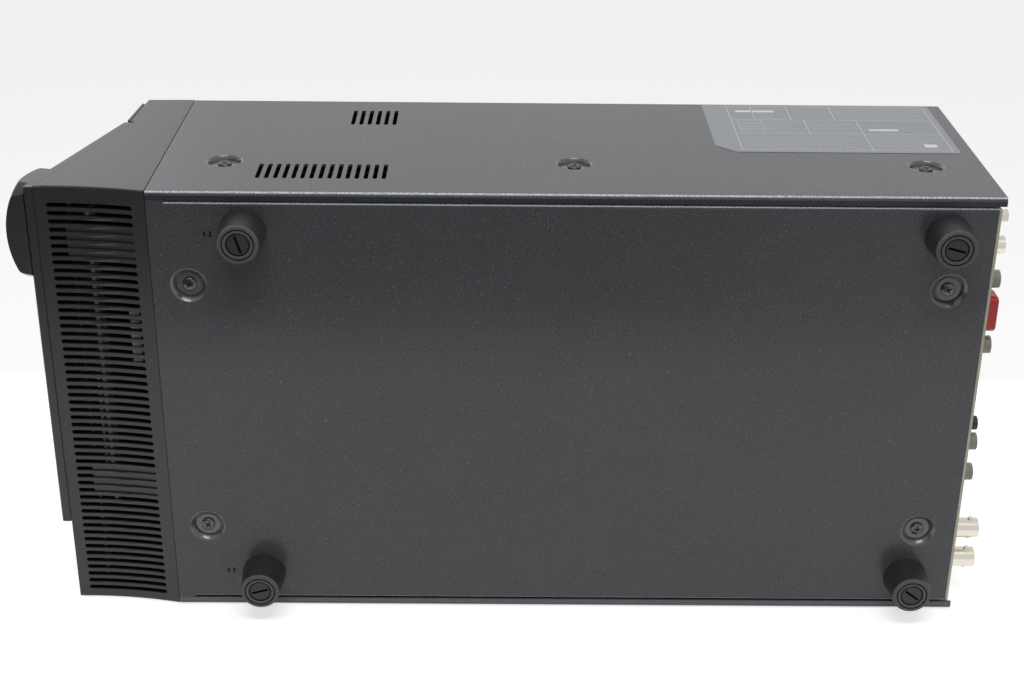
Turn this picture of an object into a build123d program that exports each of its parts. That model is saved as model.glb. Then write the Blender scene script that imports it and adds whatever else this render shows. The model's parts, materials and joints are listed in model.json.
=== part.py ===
from build123d import *
import math
import os

os.makedirs("parts", exist_ok=True)

# Half-rack optical disc recorder, standing upright on its four feet.
# The pieces are modelled in the case frame: X to the recorder's right as seen from the front,
# Y to the rear from the seam between front moulding and cover, Z up from the pan's underside.
# They are written in the part's frame, whose origin is under the middle of the whole machine.

# Case: folded cover and bottom pan
CASE_W = 212.0
CASE_H = 134.0
COVER_L = 374.0
SHEET = 1.2
BEND_R = 2.0
SEAM_GAP = 0.4
FOLD_W = 4.0
FOLD_START = 8.0
FOLD_GAP = 0.4
REAR_LIP = 1.8
PAN_SIDE_H = 52.0

# Dished screw seats in cover and pan
DISH_R = 8.2
DISH_FLOOR_R = 4.9
PAN_DISH_DEPTH = 2.4
SIDE_SCREW_FRONT_Y = (29.0, 187.5)
SIDE_SCREW_REAR_GAP = 26.5
SIDE_SCREW_Z = 41.0
PAN_SCREW_INSET = 44.0
PAN_SCREW_FRONT_Y = 16.6
PAN_SCREW_REAR_GAP = 20.5

# Screws
M4_R = 2.0
M4_HEAD_R = 3.9
M4_HEAD_H = 2.4
M4_LENGTH = 5.8
M3_R = 1.5
M3_HEAD_R = 2.8
M3_HEAD_H = 1.8
M3_LENGTH = 6.0
THREAD_GAP = 0.05
HOLE_GAP = 0.3

# Side vents: count, first slot's Y, lower and upper ends
VENT_PITCH = 4.0
VENT_W = 2.0
LOWER_VENTS = 15
LOWER_VENT_Y = 46.5
LOWER_VENT_Z = (18.5, 37.6)
UPPER_VENTS = 6
UPPER_VENT_Y = 82.5
UPPER_VENT_DROP = (38.5, 16.4)
VENT_WINDOW_MARGIN = 3.0

# Feet
FOOT_H = 16.4
FOOT_R = 8.8
FOOT_BASE_R = 9.4
FOOT_RECESS_R = 5.6
FOOT_RECESS_H = 1.6
FOOT_EDGE_R = 0.8
FOOT_INSET = 18.0
FOOT_FRONT_Y = 42.0
FOOT_REAR_GAP = 24.0
FOOT_PIN_R = 2.2
FOOT_PIN_HEAD_R = 4.7
FOOT_PIN_SINK = 0.4
FOOT_SLOT = (8.0, 1.1, 0.6)
FOOT_SLOTS = (-70.0, -15.0, 75.0, -30.0)
LANCE_R = 1.3
LANCE_INSET = 19.5
LANCE_Y = 26.4

# Front moulding, side profile
WALL = 2.5
FRONT_TOP_Y = -23.3
FRONT_TOP_DROP = 0.7
BROW_Y = -25.7
BROW_DROP = 36.6
LEDGE_Y = -23.65
LEDGE_STEP = 0.6
CHIN = (-49.2, 6.0)
BELLY = (-23.8, 4.9)
HEEL_Z = 0.6
SIDE_EDGE_R = 0.9

# Grille under the front moulding
GRILLE_COUNT = 52
GRILLE_PITCH = 3.875
GRILLE_MID_X = -1.6
GRILLE_W = 2.1
GRILLE_Y = (-44.2, -6.0)
BOSS_SLOTS = (3, 34)
BOSS_SPAN = 4
BOSS_FRONT_Y = -36.8
BOSS_H = 10.5
GROOVE = 0.9
OVERRUN = 1.0

# Sloping control panel
PANEL_T = 4.0
PANEL_LEFT_INSET = 43.0
PANEL_SIDE_GAP = 0.3
PANEL_BOTTOM_Z = 5.3
PANEL_TOP_GAP = 0.4
PANEL_EDGE = 0.6
WINDOW_LEFT_GAP = 5.0
WINDOW_W = 112.0
WINDOW_BOTTOM_S = 53.0
WINDOW_TOP_GAP = 11.3
WINDOW_R = 2.0
WINDOW_T = 3.2
WINDOW_RIM = 3.0
WINDOW_GAP = 0.2
DISPLAY_SINK = 0.5
DISPLAY_HOLDER_W = 2.0

# Keys: width, height and places along the slope; the open key's width and inset are
# shares of the room between the tray's front and the case's side
KEY_TRAVEL = 1.0
KEY_GAP = 0.3
KEY_PROUD = 1.2
KEY_FLANGE = 1.0
KEY_FLANGE_T = 1.0
KEY_SEAT_GAP = 0.2
KEY_EDGE_R = 0.5
KEY_CORNER_R = 1.2
STEM_R = 1.6
SWITCH_H = 3.8
SWITCH_S = 6.0
SWITCH_R = 0.6
TRANSPORT_KEYS = ("reverse", "play", "forward", "pause", "stop", "record")
TRANSPORT_H = 8.0
TRANSPORT_S = 23.0
MENU_KEYS = ("menu", "back")
MENU_H = 5.4
MENU_S = 41.0
KEY_SPACE = 4.0
KEY_ROW_LEFT_GAP = 5.5
KEY_ROW_RIGHT_GAP = 6.5
POWER_KEY_R = 7.0
POWER_KEY_INSET = 24.0
POWER_KEY_S = 27.0
OPEN_KEY_SHARE = (0.4516, 0.4839)
OPEN_KEY_H = 6.0
OPEN_ARM = (8.0, 2.0)

# Domed dial boss at the panel's lower right corner
BOSS_INSET = 22.7
BOSS_S = 13.2
BOSS_R = 24.3
DOME_R = 43.9
DOME_DEPTH = 31.4
BOSS_EDGE_R = 1.6
DIAL_R = 9.0
DIAL_GAP = 0.35
DIAL_FLOOR = 2.6
DIAL_LIFT = 0.4
DIAL_SHAFT_R = 3.0
RUN_GAP = 0.05
FINGER_R = 3.6
FINGER_AT = 4.8
FINGER_DEPTH = 1.1
ENCODER_S = 13.0
ENCODER_R = 1.0

# Tray band on the upright upper part
BAND_T = 1.1
BAND_S = (1.2, 28.8)
BAND_EDGE = 0.3
TRAY_FRONT_LAP = 10.0
TRAY_FRONT_H = 19.0
TRAY_FRONT_T = 6.0
TRAY_FRONT_R = 1.2
TRAY_FRONT_EDGE = 0.4
TRAY_GAP = 0.5
TRAY_MID_DROP = 22.4

# Disc drive
DRIVE_H = 41.3
DRIVE_FRONT_Y = -8.0
DRIVE_REAR_Y = 168.0
DRIVE_DROP = 50.0
DRIVE_SHEET = 1.0
LID_GROOVE_W = 5.0
LID_GROOVE_Y = (40.0, 120.0)
LID_GROOVE_INSET = 29.0
TRAY_RIM = 4.4
RAIL_W = 7.0
RAIL_START = 2.0
TRAY_T = 7.5
TRAY_REAR_Y = 150.0
TRAY_LEVEL = 23.5
TRAY_RELIEF = (32.0, 8.0)
DISC_R = 60.0
DISC_GAP = 0.6
DISC_RECESS = 4.6
DISC_MARGIN = 4.5
SMALL_DISC_R = 40.0
SMALL_DISC_STEP = 1.2
TRAY_SLOT_W = 38.0
RAIL_T = 3.0
SLIDE_GAP = 0.25
DECK_T = 3.0
DECK_LEVEL = 6.0
DECK_INSET = 9.0
DECK_FRONT = 34.0
DECK_REAR = 86.0
MOTOR_SLOT_GAP = 6.0
ROD_SLOT_INSET = 4.0
POST_R = 4.0
POST_INSET = 6.0
POST_Y = (-28.0, 78.0)
TURNTABLE_R = 14.5
TURNTABLE_T = 2.0
HUB_R = 7.35
HUB_H = 2.6
HUB_TAPER = 1.8
MOTOR_R = 13.0
MOTOR_H = 5.0
SPINDLE_R = 1.5
SPINDLE_TIP = 2.0
ROD_R = 1.5
ROD_X = 27.0
ROD_LIFT = 2.0
ROD_END = 4.0
HOLDER_W = 6.0
HOLDER_L = 5.0
HOLDER_COVER = 1.5
SLED_L = 26.0
SLED_FRONT = 8.0
SLED_NEAR = 24.0
SLED_TRAVEL = 33.0
SLED_SIDE = 4.0
SLED_TOP = 4.0
SLED_UNDER = 2.6
SLED_CORNER = 3.0
SLED_ARCH = (8.0, 0.5)
LENS_R = 3.4
CLAMP_R = 14.0
CLAMP_NECK_R = 10.5
CLAMP_NECK_GAP = 0.5
CLAMP_BRIDGE_W = 34.0
CLAMP_BRIDGE_T = 1.5
CLAMP_BRIDGE_LEVEL = 35.0
CLAMP_FOOT_INSET = 1.0
CLAMP_T = 2.2

# Drive bracket, front frame, boards
BRACKET_TAB_L = 22.0
BRACKET_SLOT = (80.0, 22.0)
BRACKET_SLOT_Y = (60.0, 110.0, 160.0)
FRAME_T = 1.2
FRAME_FOOT_L = 26.0
FRAME_FOOT_SIDE = 14.0
FRAME_MOUTH_GAP = 1.0
FRAME_WINDOW_X = 80.0
FRAME_WINDOW_Z = (24.0, 66.0)
PAN_NOTCH = (0.3, 2.0)
BOARD_T = 1.6
BOARD_Z = 8.6
STANDOFF_R = 3.0
BOARD_SIDE_GAP = 3.4
BOARDS_GAP = 28.0
MAIN_BOARD_REAR_GAP = 6.2
POWER_BOARD_W = 91.0
POWER_BOARD_Y = (34.0, 176.0)
CONTROL_BOARD_GAP = 5.5
CONTROL_BOARD_BOTTOM_S = 9.0
CONTROL_BOARD_TOP_GAP = 14.3
CONTROL_BOARD_OUT = -10.5
BOARD_INSET = 5.0
MAIN_SCREW_INSET = 30.0
POWER_SCREW_INSET = 14.0
STANDOFF_FLOOR = 1.0

# Tall parts on the boards; places are measured from a board's left front corner
SINK_BASE = 4.0
FIN_SHARE = 0.35
POWER_SINK = (12.0, 50.0, 34.0)
POWER_SINK_FINS = 4
POWER_SINK_SIDE_GAP = 3.0
POWER_SINK_AT_Y = 24.0
MAIN_SINK = (42.0, 42.0, 14.0)
MAIN_SINK_FINS = 9
MAIN_SINK_AT = (47.0, 46.0)
CORE = (32.0, 32.0, 26.0)
CORE_WALL = 6.0
CORE_AT = (24.0, 54.0)
BOBBIN_OVERHANG = 2.0
BOBBIN_GAP = 0.2
BOBBIN_R = 3.0
CAPACITORS = ((18.0, 28.0, 11.0, 32.0), (44.0, 28.0, 8.0, 26.0), (18.0, 116.0, 6.0, 20.0),
              (34.0, 116.0, 6.0, 20.0), (50.0, 116.0, 6.0, 20.0))
CAN_EDGE_R = 1.2

# Rear panel and what it carries; an AT is a share of half the case's width from its middle
REAR_T = 1.2
REAR_FOOT_L = 30.0
JACK_Z = 16.4
SOCKET_DEPTH = 12.0
BNC_AT = (-0.65943, -0.81509)
BNC_R = 4.8
BNC_L = 14.2
BNC_COLLAR = 1.6
BNC_LUG_REACH = 5.6
BNC_LUG_R = 1.1
BNC_LUG_SETBACK = 3.6
BNC_BORE_R = 3.9
BNC_FLOOR = 3.0
BNC_CONTACT_R = 1.0
BNC_CONTACT_SETBACK = 4.0
BNC_INSULATOR_R = 2.2
BNC_INSULATOR_SETBACK = 7.0
BNC_BODY = 13.0
JACK_AT = (0.57830, 0.26887, -0.20943, -0.36415)
DIGITAL_JACK_AT = 0.73491
JACK_R = 4.15
JACK_L = 7.6
JACK_HOLE_R = 1.7
JACK_HOLE_FLOOR = 2.0
JACK_BODY = 10.0
JACK_COLLAR_R = 5.0
JACK_COLLAR_L = 0.6
JACK_WALL = 0.8
JACK_GROOVE_FLOOR = 2.0
JACK_CORE_WALL = 1.1
JACK_CORE_SINK = 0.6
RED_BLOCK_AT = 0.43019
RED_BLOCK = (17.0, 12.0)
RED_BLOCK_L = 7.8
RED_BLOCK_R = 2.6
RED_BLOCK_EDGE_R = 1.0
RED_HOLE_R = 1.8
EARTH_AT = 0.86604
EARTH_R = 2.7
EARTH_L = 7.4
EARTH_STUD_L = 5.0
EARTH_NUT_T = 2.2
EARTH_BORE_FLOOR = 2.0
REMOTE_PITCH = 9.8
REMOTE_R = 3.3
REMOTE_L = 6.8
REMOTE_BODY = 9.0
REMOTE_DEPTH = 14.0
VIDEO_PITCH_SHARE = 0.3667
VIDEO_SOCKET_Z = 42.0
VIDEO_SOCKET_R = 5.6
VIDEO_SOCKET_WALL = 1.1
VIDEO_SOCKET_L = 1.5
VIDEO_FACE_SINK = 0.6
VIDEO_PIN_R = 0.6
VIDEO_PIN_AT = (2.3, 1.4)
VIDEO_PIN_DEPTH = 2.0
VIDEO_KEY_W = 2.8
VIDEO_KEY_Z = (-3.6, -2.2)
FAN_INSET = 52.0
FAN_DROP = 46.0
FAN_SIZE = 60.0
FAN_DEPTH = 20.0
FAN_BORE_R = 28.5
FAN_TIP_R = 27.3
FAN_HUB_R = 14.0
FAN_BLADES = 7
FAN_PITCH = 38.0
FAN_HOLE_SPACING = 50.0
FAN_SLOT_PITCH = 5.0
FAN_SLOT_W = 3.0
FAN_SLOT_ROWS = 4
FAN_SLOT_MARGIN = 1.0
FAN_CORNER_R = 4.0
FAN_STRUT_W = 3.0
FAN_STRUT_T = 3.0
FAN_BLADE_T = 1.4
FAN_BLADE_FILL = 0.9
FAN_ROTOR_SETBACK = 2.0
FAN_PIN_SETBACK = 5.0
INLET_INSET = 34.0
INLET_DROP = 36.0
INLET_FLANGE = (31.0, 24.0)
INLET_BODY = (27.6, 20.4)
INLET_CAVITY = (24.0, 16.4)
INLET_DEPTH = 17.0
INLET_FLANGE_T = 2.4
INLET_FLANGE_R = 2.0
INLET_FLOOR = 2.0
INLET_CORNER = 4.0
INLET_CLIP = (0.8, 5.0, 5.9)
INLET_CLIP_GAP = 0.1
INLET_PIN = (2.0, 4.0)
INLET_PIN_X = 7.0
INLET_PIN_Z = 2.0
INLET_PIN_TAIL = 7.0
INLET_PIN_TIP = 2.0

# Blank film on the right side
FILM_T = 0.15
FILM_REAR_GAPS = (119.5, 6.0)
FILM_DROPS = (75.0, 2.0)
FILM_CUT = 9.0

# Places worked out from the sizes above: case
HALF_W = CASE_W / 2
PAN_HALF_W = HALF_W - FOLD_W - FOLD_GAP
PAN_INNER = PAN_HALF_W - SHEET
COVER_DISH_DEPTH = HALF_W - SHEET - PAN_HALF_W
PAN_DISH_TOP = PAN_DISH_DEPTH + SHEET
REAR_Y = COVER_L - REAR_LIP
SIDE_SCREW_Y = (*SIDE_SCREW_FRONT_Y, COVER_L - SIDE_SCREW_REAR_GAP)
PAN_SCREW_X = HALF_W - PAN_SCREW_INSET
PAN_SCREW_Y = (PAN_SCREW_FRONT_Y, COVER_L - PAN_SCREW_REAR_GAP)
UPPER_VENT_Z = tuple(CASE_H - drop for drop in UPPER_VENT_DROP)
FOOT_X = HALF_W - FOOT_INSET
FOOT_Y = (FOOT_FRONT_Y, COVER_L - FOOT_REAR_GAP)
LANCE_X = HALF_W - LANCE_INSET
FILM_Y = tuple(COVER_L - gap for gap in FILM_REAR_GAPS)
FILM_Z = tuple(CASE_H - drop for drop in FILM_DROPS)

# Places worked out: front and drive
FRONT_TOP = (FRONT_TOP_Y, CASE_H - FRONT_TOP_DROP)
BROW = (BROW_Y, CASE_H - BROW_DROP)
LEDGE_Z = BROW[1] - LEDGE_STEP
PANEL_LEFT_X = PANEL_LEFT_INSET - HALF_W
BOSS_X = HALF_W - BOSS_INSET
TRAY_W = 2 * (DISC_R + DISC_GAP + TRAY_RIM)
TRAY_FRONT_W = TRAY_W + 2 * TRAY_FRONT_LAP
TRAY_MID_Z = CASE_H - TRAY_MID_DROP
DRIVE_W = TRAY_W + 2 * (RAIL_W + DRIVE_SHEET)
DRIVE_Z = CASE_H - DRIVE_DROP
TRAY_Z = DRIVE_Z + TRAY_LEVEL
DECK_Z = DRIVE_Z + DECK_LEVEL
DECK_W = TRAY_W - 2 * DECK_INSET
CLAMP_BRIDGE_Z = DRIVE_Z + CLAMP_BRIDGE_LEVEL
TILT = math.degrees(math.atan2(LEDGE_Y - CHIN[0], LEDGE_Z - CHIN[1]))
BROW_TILT = math.degrees(math.atan2(FRONT_TOP[0] - BROW[0], FRONT_TOP[1] - BROW[1]))


def tilted(origin_y: float, origin_z: float, degrees_back: float) -> Plane:
    """Plane on a leaning front face: X across, Y up the face, Z out of it."""
    lean = math.radians(degrees_back)
    return Plane(origin=(0, origin_y, origin_z), x_dir=(1, 0, 0),
                 z_dir=(0, -math.cos(lean), math.sin(lean)))


SLOPE = tilted(CHIN[0], CHIN[1], TILT)
UPRIGHT = tilted(BROW[0], BROW[1], BROW_TILT)
SLOPE_LENGTH = math.hypot(LEDGE_Y - CHIN[0], LEDGE_Z - CHIN[1])
KEY_ROW_LEFT = PANEL_LEFT_X + KEY_ROW_LEFT_GAP
KEY_PITCH = ((BOSS_X - BOSS_R - KEY_ROW_RIGHT_GAP - KEY_ROW_LEFT + KEY_SPACE)
             / len(TRANSPORT_KEYS))
KEY_W = KEY_PITCH - KEY_SPACE
KEY_FIRST_X = KEY_ROW_LEFT + KEY_W / 2
TRANSPORT_SIZE = (KEY_W, TRANSPORT_H)
MENU_SIZE = (KEY_W, MENU_H)
POWER_KEY = (POWER_KEY_INSET - HALF_W, POWER_KEY_S)
OPEN_KEY_ROOM = HALF_W - TRAY_FRONT_W / 2
OPEN_KEY_SIZE = (OPEN_KEY_SHARE[0] * OPEN_KEY_ROOM, OPEN_KEY_H)
OPEN_KEY_X = HALF_W - OPEN_KEY_SHARE[1] * OPEN_KEY_ROOM
WINDOW_H = SLOPE_LENGTH - WINDOW_TOP_GAP - WINDOW_BOTTOM_S
WINDOW = (PANEL_LEFT_X + WINDOW_LEFT_GAP + WINDOW_W / 2, WINDOW_BOTTOM_S + WINDOW_H / 2,
          WINDOW_W, WINDOW_H)

# Places worked out: boards and rear panel
BOARD_SIDE = PAN_INNER - BOARD_SIDE_GAP
BOARD_TOP = BOARD_Z + BOARD_T
MAIN_BOARD_REAR = REAR_Y - MAIN_BOARD_REAR_GAP
MAIN_BOARD = (-BOARD_SIDE, BOARD_SIDE, POWER_BOARD_Y[1] + BOARDS_GAP, MAIN_BOARD_REAR)
POWER_BOARD = (BOARD_SIDE - POWER_BOARD_W, BOARD_SIDE, *POWER_BOARD_Y)
CONTROL_SIDE = HALF_W - WALL - CONTROL_BOARD_GAP
CONTROL_BOARD = (-CONTROL_SIDE, CONTROL_SIDE, CONTROL_BOARD_BOTTOM_S,
                 SLOPE_LENGTH - CONTROL_BOARD_TOP_GAP)
PANEL_INSIDE = REAR_Y - REAR_T
BNC_X = tuple(share * HALF_W for share in BNC_AT)
JACK_X = tuple(share * HALF_W for share in JACK_AT)
DIGITAL_JACK_X = DIGITAL_JACK_AT * HALF_W
RED_BLOCK_X = RED_BLOCK_AT * HALF_W
EARTH_X = EARTH_AT * HALF_W
REMOTE_X = JACK_X[2] + REMOTE_PITCH
VIDEO_MID_X = (REMOTE_X + JACK_X[1]) / 2
VIDEO_PITCH = VIDEO_PITCH_SHARE * (JACK_X[1] - REMOTE_X)
VIDEO_SOCKET_X = (VIDEO_MID_X - VIDEO_PITCH / 2, VIDEO_MID_X + VIDEO_PITCH / 2)
FAN_X = HALF_W - FAN_INSET
FAN_Z = CASE_H - FAN_DROP
INLET_X = INLET_INSET - HALF_W
INLET_Z = CASE_H - INLET_DROP
OPEN_KEY_S = (TRAY_MID_Z - BROW[1]) / math.cos(math.radians(BROW_TILT))


def block(x: tuple, y: tuple, z: tuple) -> Part:
    """Box between two corners, given as ranges along X, Y and Z."""
    size = (x[1] - x[0], y[1] - y[0], z[1] - z[0])
    middle = ((x[0] + x[1]) / 2, (y[0] + y[1]) / 2, (z[0] + z[1]) / 2)
    return Pos(*middle) * Box(*size)


def prism_x(outline: Sketch, x: tuple) -> Part:
    """Outline drawn in Y and Z, swept across the range along X."""
    return Pos(x[0], 0, 0) * extrude(Plane.YZ * outline, amount=x[1] - x[0])


def prism_y(outline: Sketch, y: tuple) -> Part:
    """Outline drawn in X and Z, swept along the range of Y."""
    return Pos(0, y[1], 0) * extrude(Plane.XZ * outline, amount=y[1] - y[0])


def cylinder_y(radius: float, x: float, z: float, y: tuple) -> Part:
    """Round bar or hole along Y."""
    return prism_y(Pos(x, z) * Circle(radius), y)


def cylinder_z(radius: float, x: float, y: float, z: tuple) -> Part:
    """Round bar or hole along Z."""
    return Pos(x, y, (z[0] + z[1]) / 2) * Cylinder(radius, z[1] - z[0])


def between(bottom: float, top: float, outline: Sketch) -> Part:
    """Outline in a local XY plane, standing from one level to another."""
    return Pos(0, 0, bottom) * extrude(outline, amount=top - bottom)


# Screw seats and screws, each along its own local Z with the head outwards

def side_seat(side: int, y: float) -> Plane:
    """Plane on the cover's outer side face at one screw."""
    return Plane(origin=(side * HALF_W, y, SIDE_SCREW_Z), x_dir=(0, side, 0), z_dir=(side, 0, 0))


def pan_seat(x: float, y: float) -> Plane:
    """Plane on the pan's underside at one screw."""
    return Plane(origin=(x, y, 0), x_dir=(1, 0, 0), z_dir=(0, 0, -1))


SIDE_SEATS = [side_seat(side, y) for side in (1, -1) for y in SIDE_SCREW_Y]
PAN_SEATS = [pan_seat(side * PAN_SCREW_X, y) for side in (1, -1) for y in PAN_SCREW_Y]


def dished(sheet: Part, seats: list, depth: float) -> Part:
    """Sheet pressed inwards in a round dish with a screw hole at each seat."""
    bump = Pos(0, 0, -SHEET - depth / 2) * Cone(DISH_FLOOR_R + SHEET / 2, DISH_R, depth)
    hollow = Pos(0, 0, -depth / 2) * Cone(DISH_FLOOR_R, DISH_R, depth)
    hole = Pos(0, 0, -depth) * Cylinder(M4_R + HOLE_GAP, 4 * SHEET)
    for seat in seats:
        sheet = sheet + seat * bump
    for seat in seats:
        sheet = sheet - seat * (hollow + hole)
    return sheet


def machine_screw(radius: float, head_r: float, head_h: float, length: float) -> Part:
    """Domed cross-head screw whose head rests on level 0."""
    crown = ThreePointArc((head_r, 0.45 * head_h), (0.6 * head_r, 0.88 * head_h), (0, head_h))
    rim = Polyline((0, head_h), (0, -length), (radius, -length), (radius, 0), (head_r, 0),
                   (head_r, 0.45 * head_h))
    screw = revolve(Plane.XZ * make_face([*crown.edges(), *rim.edges()]), Axis.Z)
    bar = Pos(0, 0, head_h) * Box(1.15 * head_r, 0.26 * head_r, head_h)
    return screw - bar - Rot(0, 0, 90) * bar


def screws(places: list, screw: Part) -> Compound:
    """One separate screw at each place."""
    return Compound(children=[place * copy(screw) for place in places])


def copy(shape: Part) -> Part:
    """Same shape again, so that each place has its own."""
    return Pos(0, 0, 0) * shape


def sunk(seat: Plane, depth: float) -> Location:
    """Place at the floor of a dish."""
    return seat.location * Pos(0, 0, -depth)


# Case

def vent_row(count: int, first_y: float, ends: tuple) -> Sketch:
    """Row of upright round-ended slots in Y and Z."""
    length = ends[1] - ends[0]
    slot = SlotOverall(length, VENT_W, rotation=90)
    return Sketch() + [Pos(first_y + i * VENT_PITCH, sum(ends) / 2) * slot for i in range(count)]


def make_top_cover() -> Part:
    """Folded steel cover: top, both sides and a narrow fold under each side."""
    outer = Pos(0, CASE_H / 2) * RectangleRounded(CASE_W, CASE_H, BEND_R)
    inner = Pos(0, CASE_H / 2) * RectangleRounded(CASE_W - 2 * SHEET, CASE_H - 2 * SHEET,
                                                  BEND_R - SHEET)
    underside = Rectangle(CASE_W - 2 * FOLD_W, 4 * SHEET)
    cover = prism_y(outer - inner - underside, (SEAM_GAP, COVER_L))
    fold_end = HALF_W - BEND_R
    for side in (1, -1):
        cut_x = sorted((side * fold_end, side * (PAN_HALF_W - OVERRUN)))
        cover = cover - block(cut_x, (0, FOLD_START), (-SHEET, SHEET))
    cover = dished(cover, SIDE_SEATS, COVER_DISH_DEPTH)
    vents = vent_row(LOWER_VENTS, LOWER_VENT_Y, LOWER_VENT_Z)
    vents = vents + vent_row(UPPER_VENTS, UPPER_VENT_Y, UPPER_VENT_Z)
    return cover - prism_x(vents, (-CASE_W, CASE_W))


def make_bottom_pan() -> Part:
    """Steel pan: floor with upturned sides, cut away behind the lower vents."""
    height = PAN_SIDE_H
    outer = Pos(0, height / 2) * RectangleRounded(2 * PAN_HALF_W, height, BEND_R)
    inner = Pos(0, height / 2 + SHEET) * RectangleRounded(2 * PAN_INNER, height, BEND_R - SHEET)
    open_top = Pos(0, height) * Rectangle(2 * PAN_INNER, 2 * BEND_R + 2 * SHEET)
    pan = prism_y(outer - inner - open_top, (SEAM_GAP, REAR_Y - REAR_T))
    pan = dished(pan, PAN_SEATS, PAN_DISH_DEPTH)
    window_y = (LOWER_VENT_Y - VENT_PITCH, LOWER_VENT_Y + LOWER_VENTS * VENT_PITCH)
    window_z = (LOWER_VENT_Z[0] - VENT_WINDOW_MARGIN, LOWER_VENT_Z[1] + VENT_WINDOW_MARGIN)
    pan = pan - block((-CASE_W, CASE_W), window_y, window_z)
    holes = [seat * (Pos(0, 0, -COVER_DISH_DEPTH) * Cylinder(M4_R + THREAD_GAP, 8 * SHEET))
             for seat in SIDE_SEATS]
    holes += [cylinder_z(FOOT_PIN_R + THREAD_GAP, x, y, (-SHEET, 2 * SHEET)) for x, y in foot_places()]
    lances = [cylinder_z(LANCE_R, side * LANCE_X, LANCE_Y, (-SHEET, 2 * SHEET)) for side in (1, -1)]
    return pan - holes - lances


def foot_places() -> list:
    """Middle of each foot: left front, right front, left rear, right rear."""
    return [(side * FOOT_X, y) for y in FOOT_Y for side in (-1, 1)]


def make_foot() -> Part:
    """Tall rubber foot, drawn in slightly, with a recessed ring for its pin."""
    half = Polyline((FOOT_PIN_R + HOLE_GAP, 0), (FOOT_BASE_R, 0), (FOOT_R, -FOOT_H),
                    (FOOT_RECESS_R, -FOOT_H), (FOOT_RECESS_R, -FOOT_H + FOOT_RECESS_H),
                    (FOOT_PIN_R + HOLE_GAP, -FOOT_H + FOOT_RECESS_H), close=True)
    foot = revolve(Plane.XZ * make_face(half), Axis.Z)
    rim = foot.edges().filter_by(GeomType.CIRCLE).group_by(Axis.Z)[0].sort_by(SortBy.RADIUS)[-1]
    return fillet(rim, FOOT_EDGE_R)


def make_foot_pin(slot_angle: float) -> Part:
    """Slotted plastic pin that holds a foot, its head inside the recess."""
    head_top = -FOOT_H + FOOT_PIN_SINK
    head_base = -FOOT_H + FOOT_RECESS_H
    pin = cylinder_z(FOOT_PIN_HEAD_R, 0, 0, (head_top, head_base))
    pin = pin + cylinder_z(FOOT_PIN_R, 0, 0, (head_base, 2 * SHEET))
    slot_l, slot_w, slot_depth = FOOT_SLOT
    slot = Pos(0, 0, head_top) * Box(slot_l, slot_w, 2 * slot_depth)
    return pin - Rot(0, 0, slot_angle) * slot


def make_rating_film() -> Part:
    """Blank film on the right side, one lower corner cut off."""
    outline = Polyline((FILM_Y[0], FILM_Z[0] + FILM_CUT), (FILM_Y[0], FILM_Z[1]),
                       (FILM_Y[1], FILM_Z[1]), (FILM_Y[1], FILM_Z[0]),
                       (FILM_Y[0] + FILM_CUT, FILM_Z[0]), close=True)
    return prism_x(make_face(outline), (HALF_W, HALF_W + FILM_T))


# Front moulding

def front_profile() -> Sketch:
    """Side profile of the front moulding in Y and Z."""
    under = ThreePointArc(CHIN, BELLY, (0, HEEL_Z))
    rest = Polyline((0, HEEL_Z), (0, CASE_H), FRONT_TOP, BROW, (LEDGE_Y, LEDGE_Z), CHIN)
    return make_face([*under.edges(), *rest.edges()])


def inset_profile(inset: float) -> Sketch:
    """Front profile drawn in all round but open at the back."""
    back = Rectangle(2 * inset, CASE_H - HEEL_Z, align=(Align.MIN, Align.MIN))
    return offset(front_profile() + Pos(0, HEEL_Z) * back, amount=-inset, kind=Kind.INTERSECTION)


def grille_x(index: int) -> float:
    """Middle of one grille slot, counted from the right."""
    return GRILLE_MID_X + ((GRILLE_COUNT - 1) / 2 - index) * GRILLE_PITCH


def grille_slots() -> Part:
    """All the slots under the chin as one cutting tool."""
    length = GRILLE_Y[1] - GRILLE_Y[0]
    slot = SlotOverall(length, GRILLE_W, rotation=90)
    row = Sketch() + [Pos(grille_x(i), sum(GRILLE_Y) / 2) * slot for i in range(GRILLE_COUNT)]
    return between(-OVERRUN, CHIN[1] + WALL + OVERRUN, row)


def slot_bosses() -> Part:
    """Two mounting blocks inside that fill part of some slots down to a shallow groove."""
    filled = inset_profile(GROOVE)
    bosses = []
    for first in BOSS_SLOTS:
        x = (grille_x(first + BOSS_SPAN - 1) - GRILLE_W, grille_x(first) + GRILLE_W)
        space = block(x, (BOSS_FRONT_Y, GRILLE_Y[1] + OVERRUN), (0, BOSS_H))
        bosses.append(prism_x(filled, x) & space)
    return bosses[0] + bosses[1]


def board_boss_places() -> list:
    """Screw places of the control board along the slope."""
    x0, x1, s0, s1 = CONTROL_BOARD
    return [(x0 + BOARD_INSET, s0 + 2 * BOARD_INSET), (x0 + BOARD_INSET, s1 - BOARD_INSET),
            (x1 - BOARD_INSET, s1 - BOARD_INSET), (BOSS_X - BOSS_R, s0 + BOARD_INSET)]


def tray_mouth() -> Part:
    """Opening for the tray's front, running straight along Y."""
    half_w = TRAY_FRONT_W / 2 + TRAY_GAP
    half_h = TRAY_FRONT_H / 2 + TRAY_GAP
    outline = Pos(0, TRAY_MID_Z) * RectangleRounded(2 * half_w, 2 * half_h, TRAY_FRONT_R)
    return prism_y(outline, (BROW[0] - 3 * BAND_T, FRONT_TOP[0] + 2 * WALL))


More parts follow.
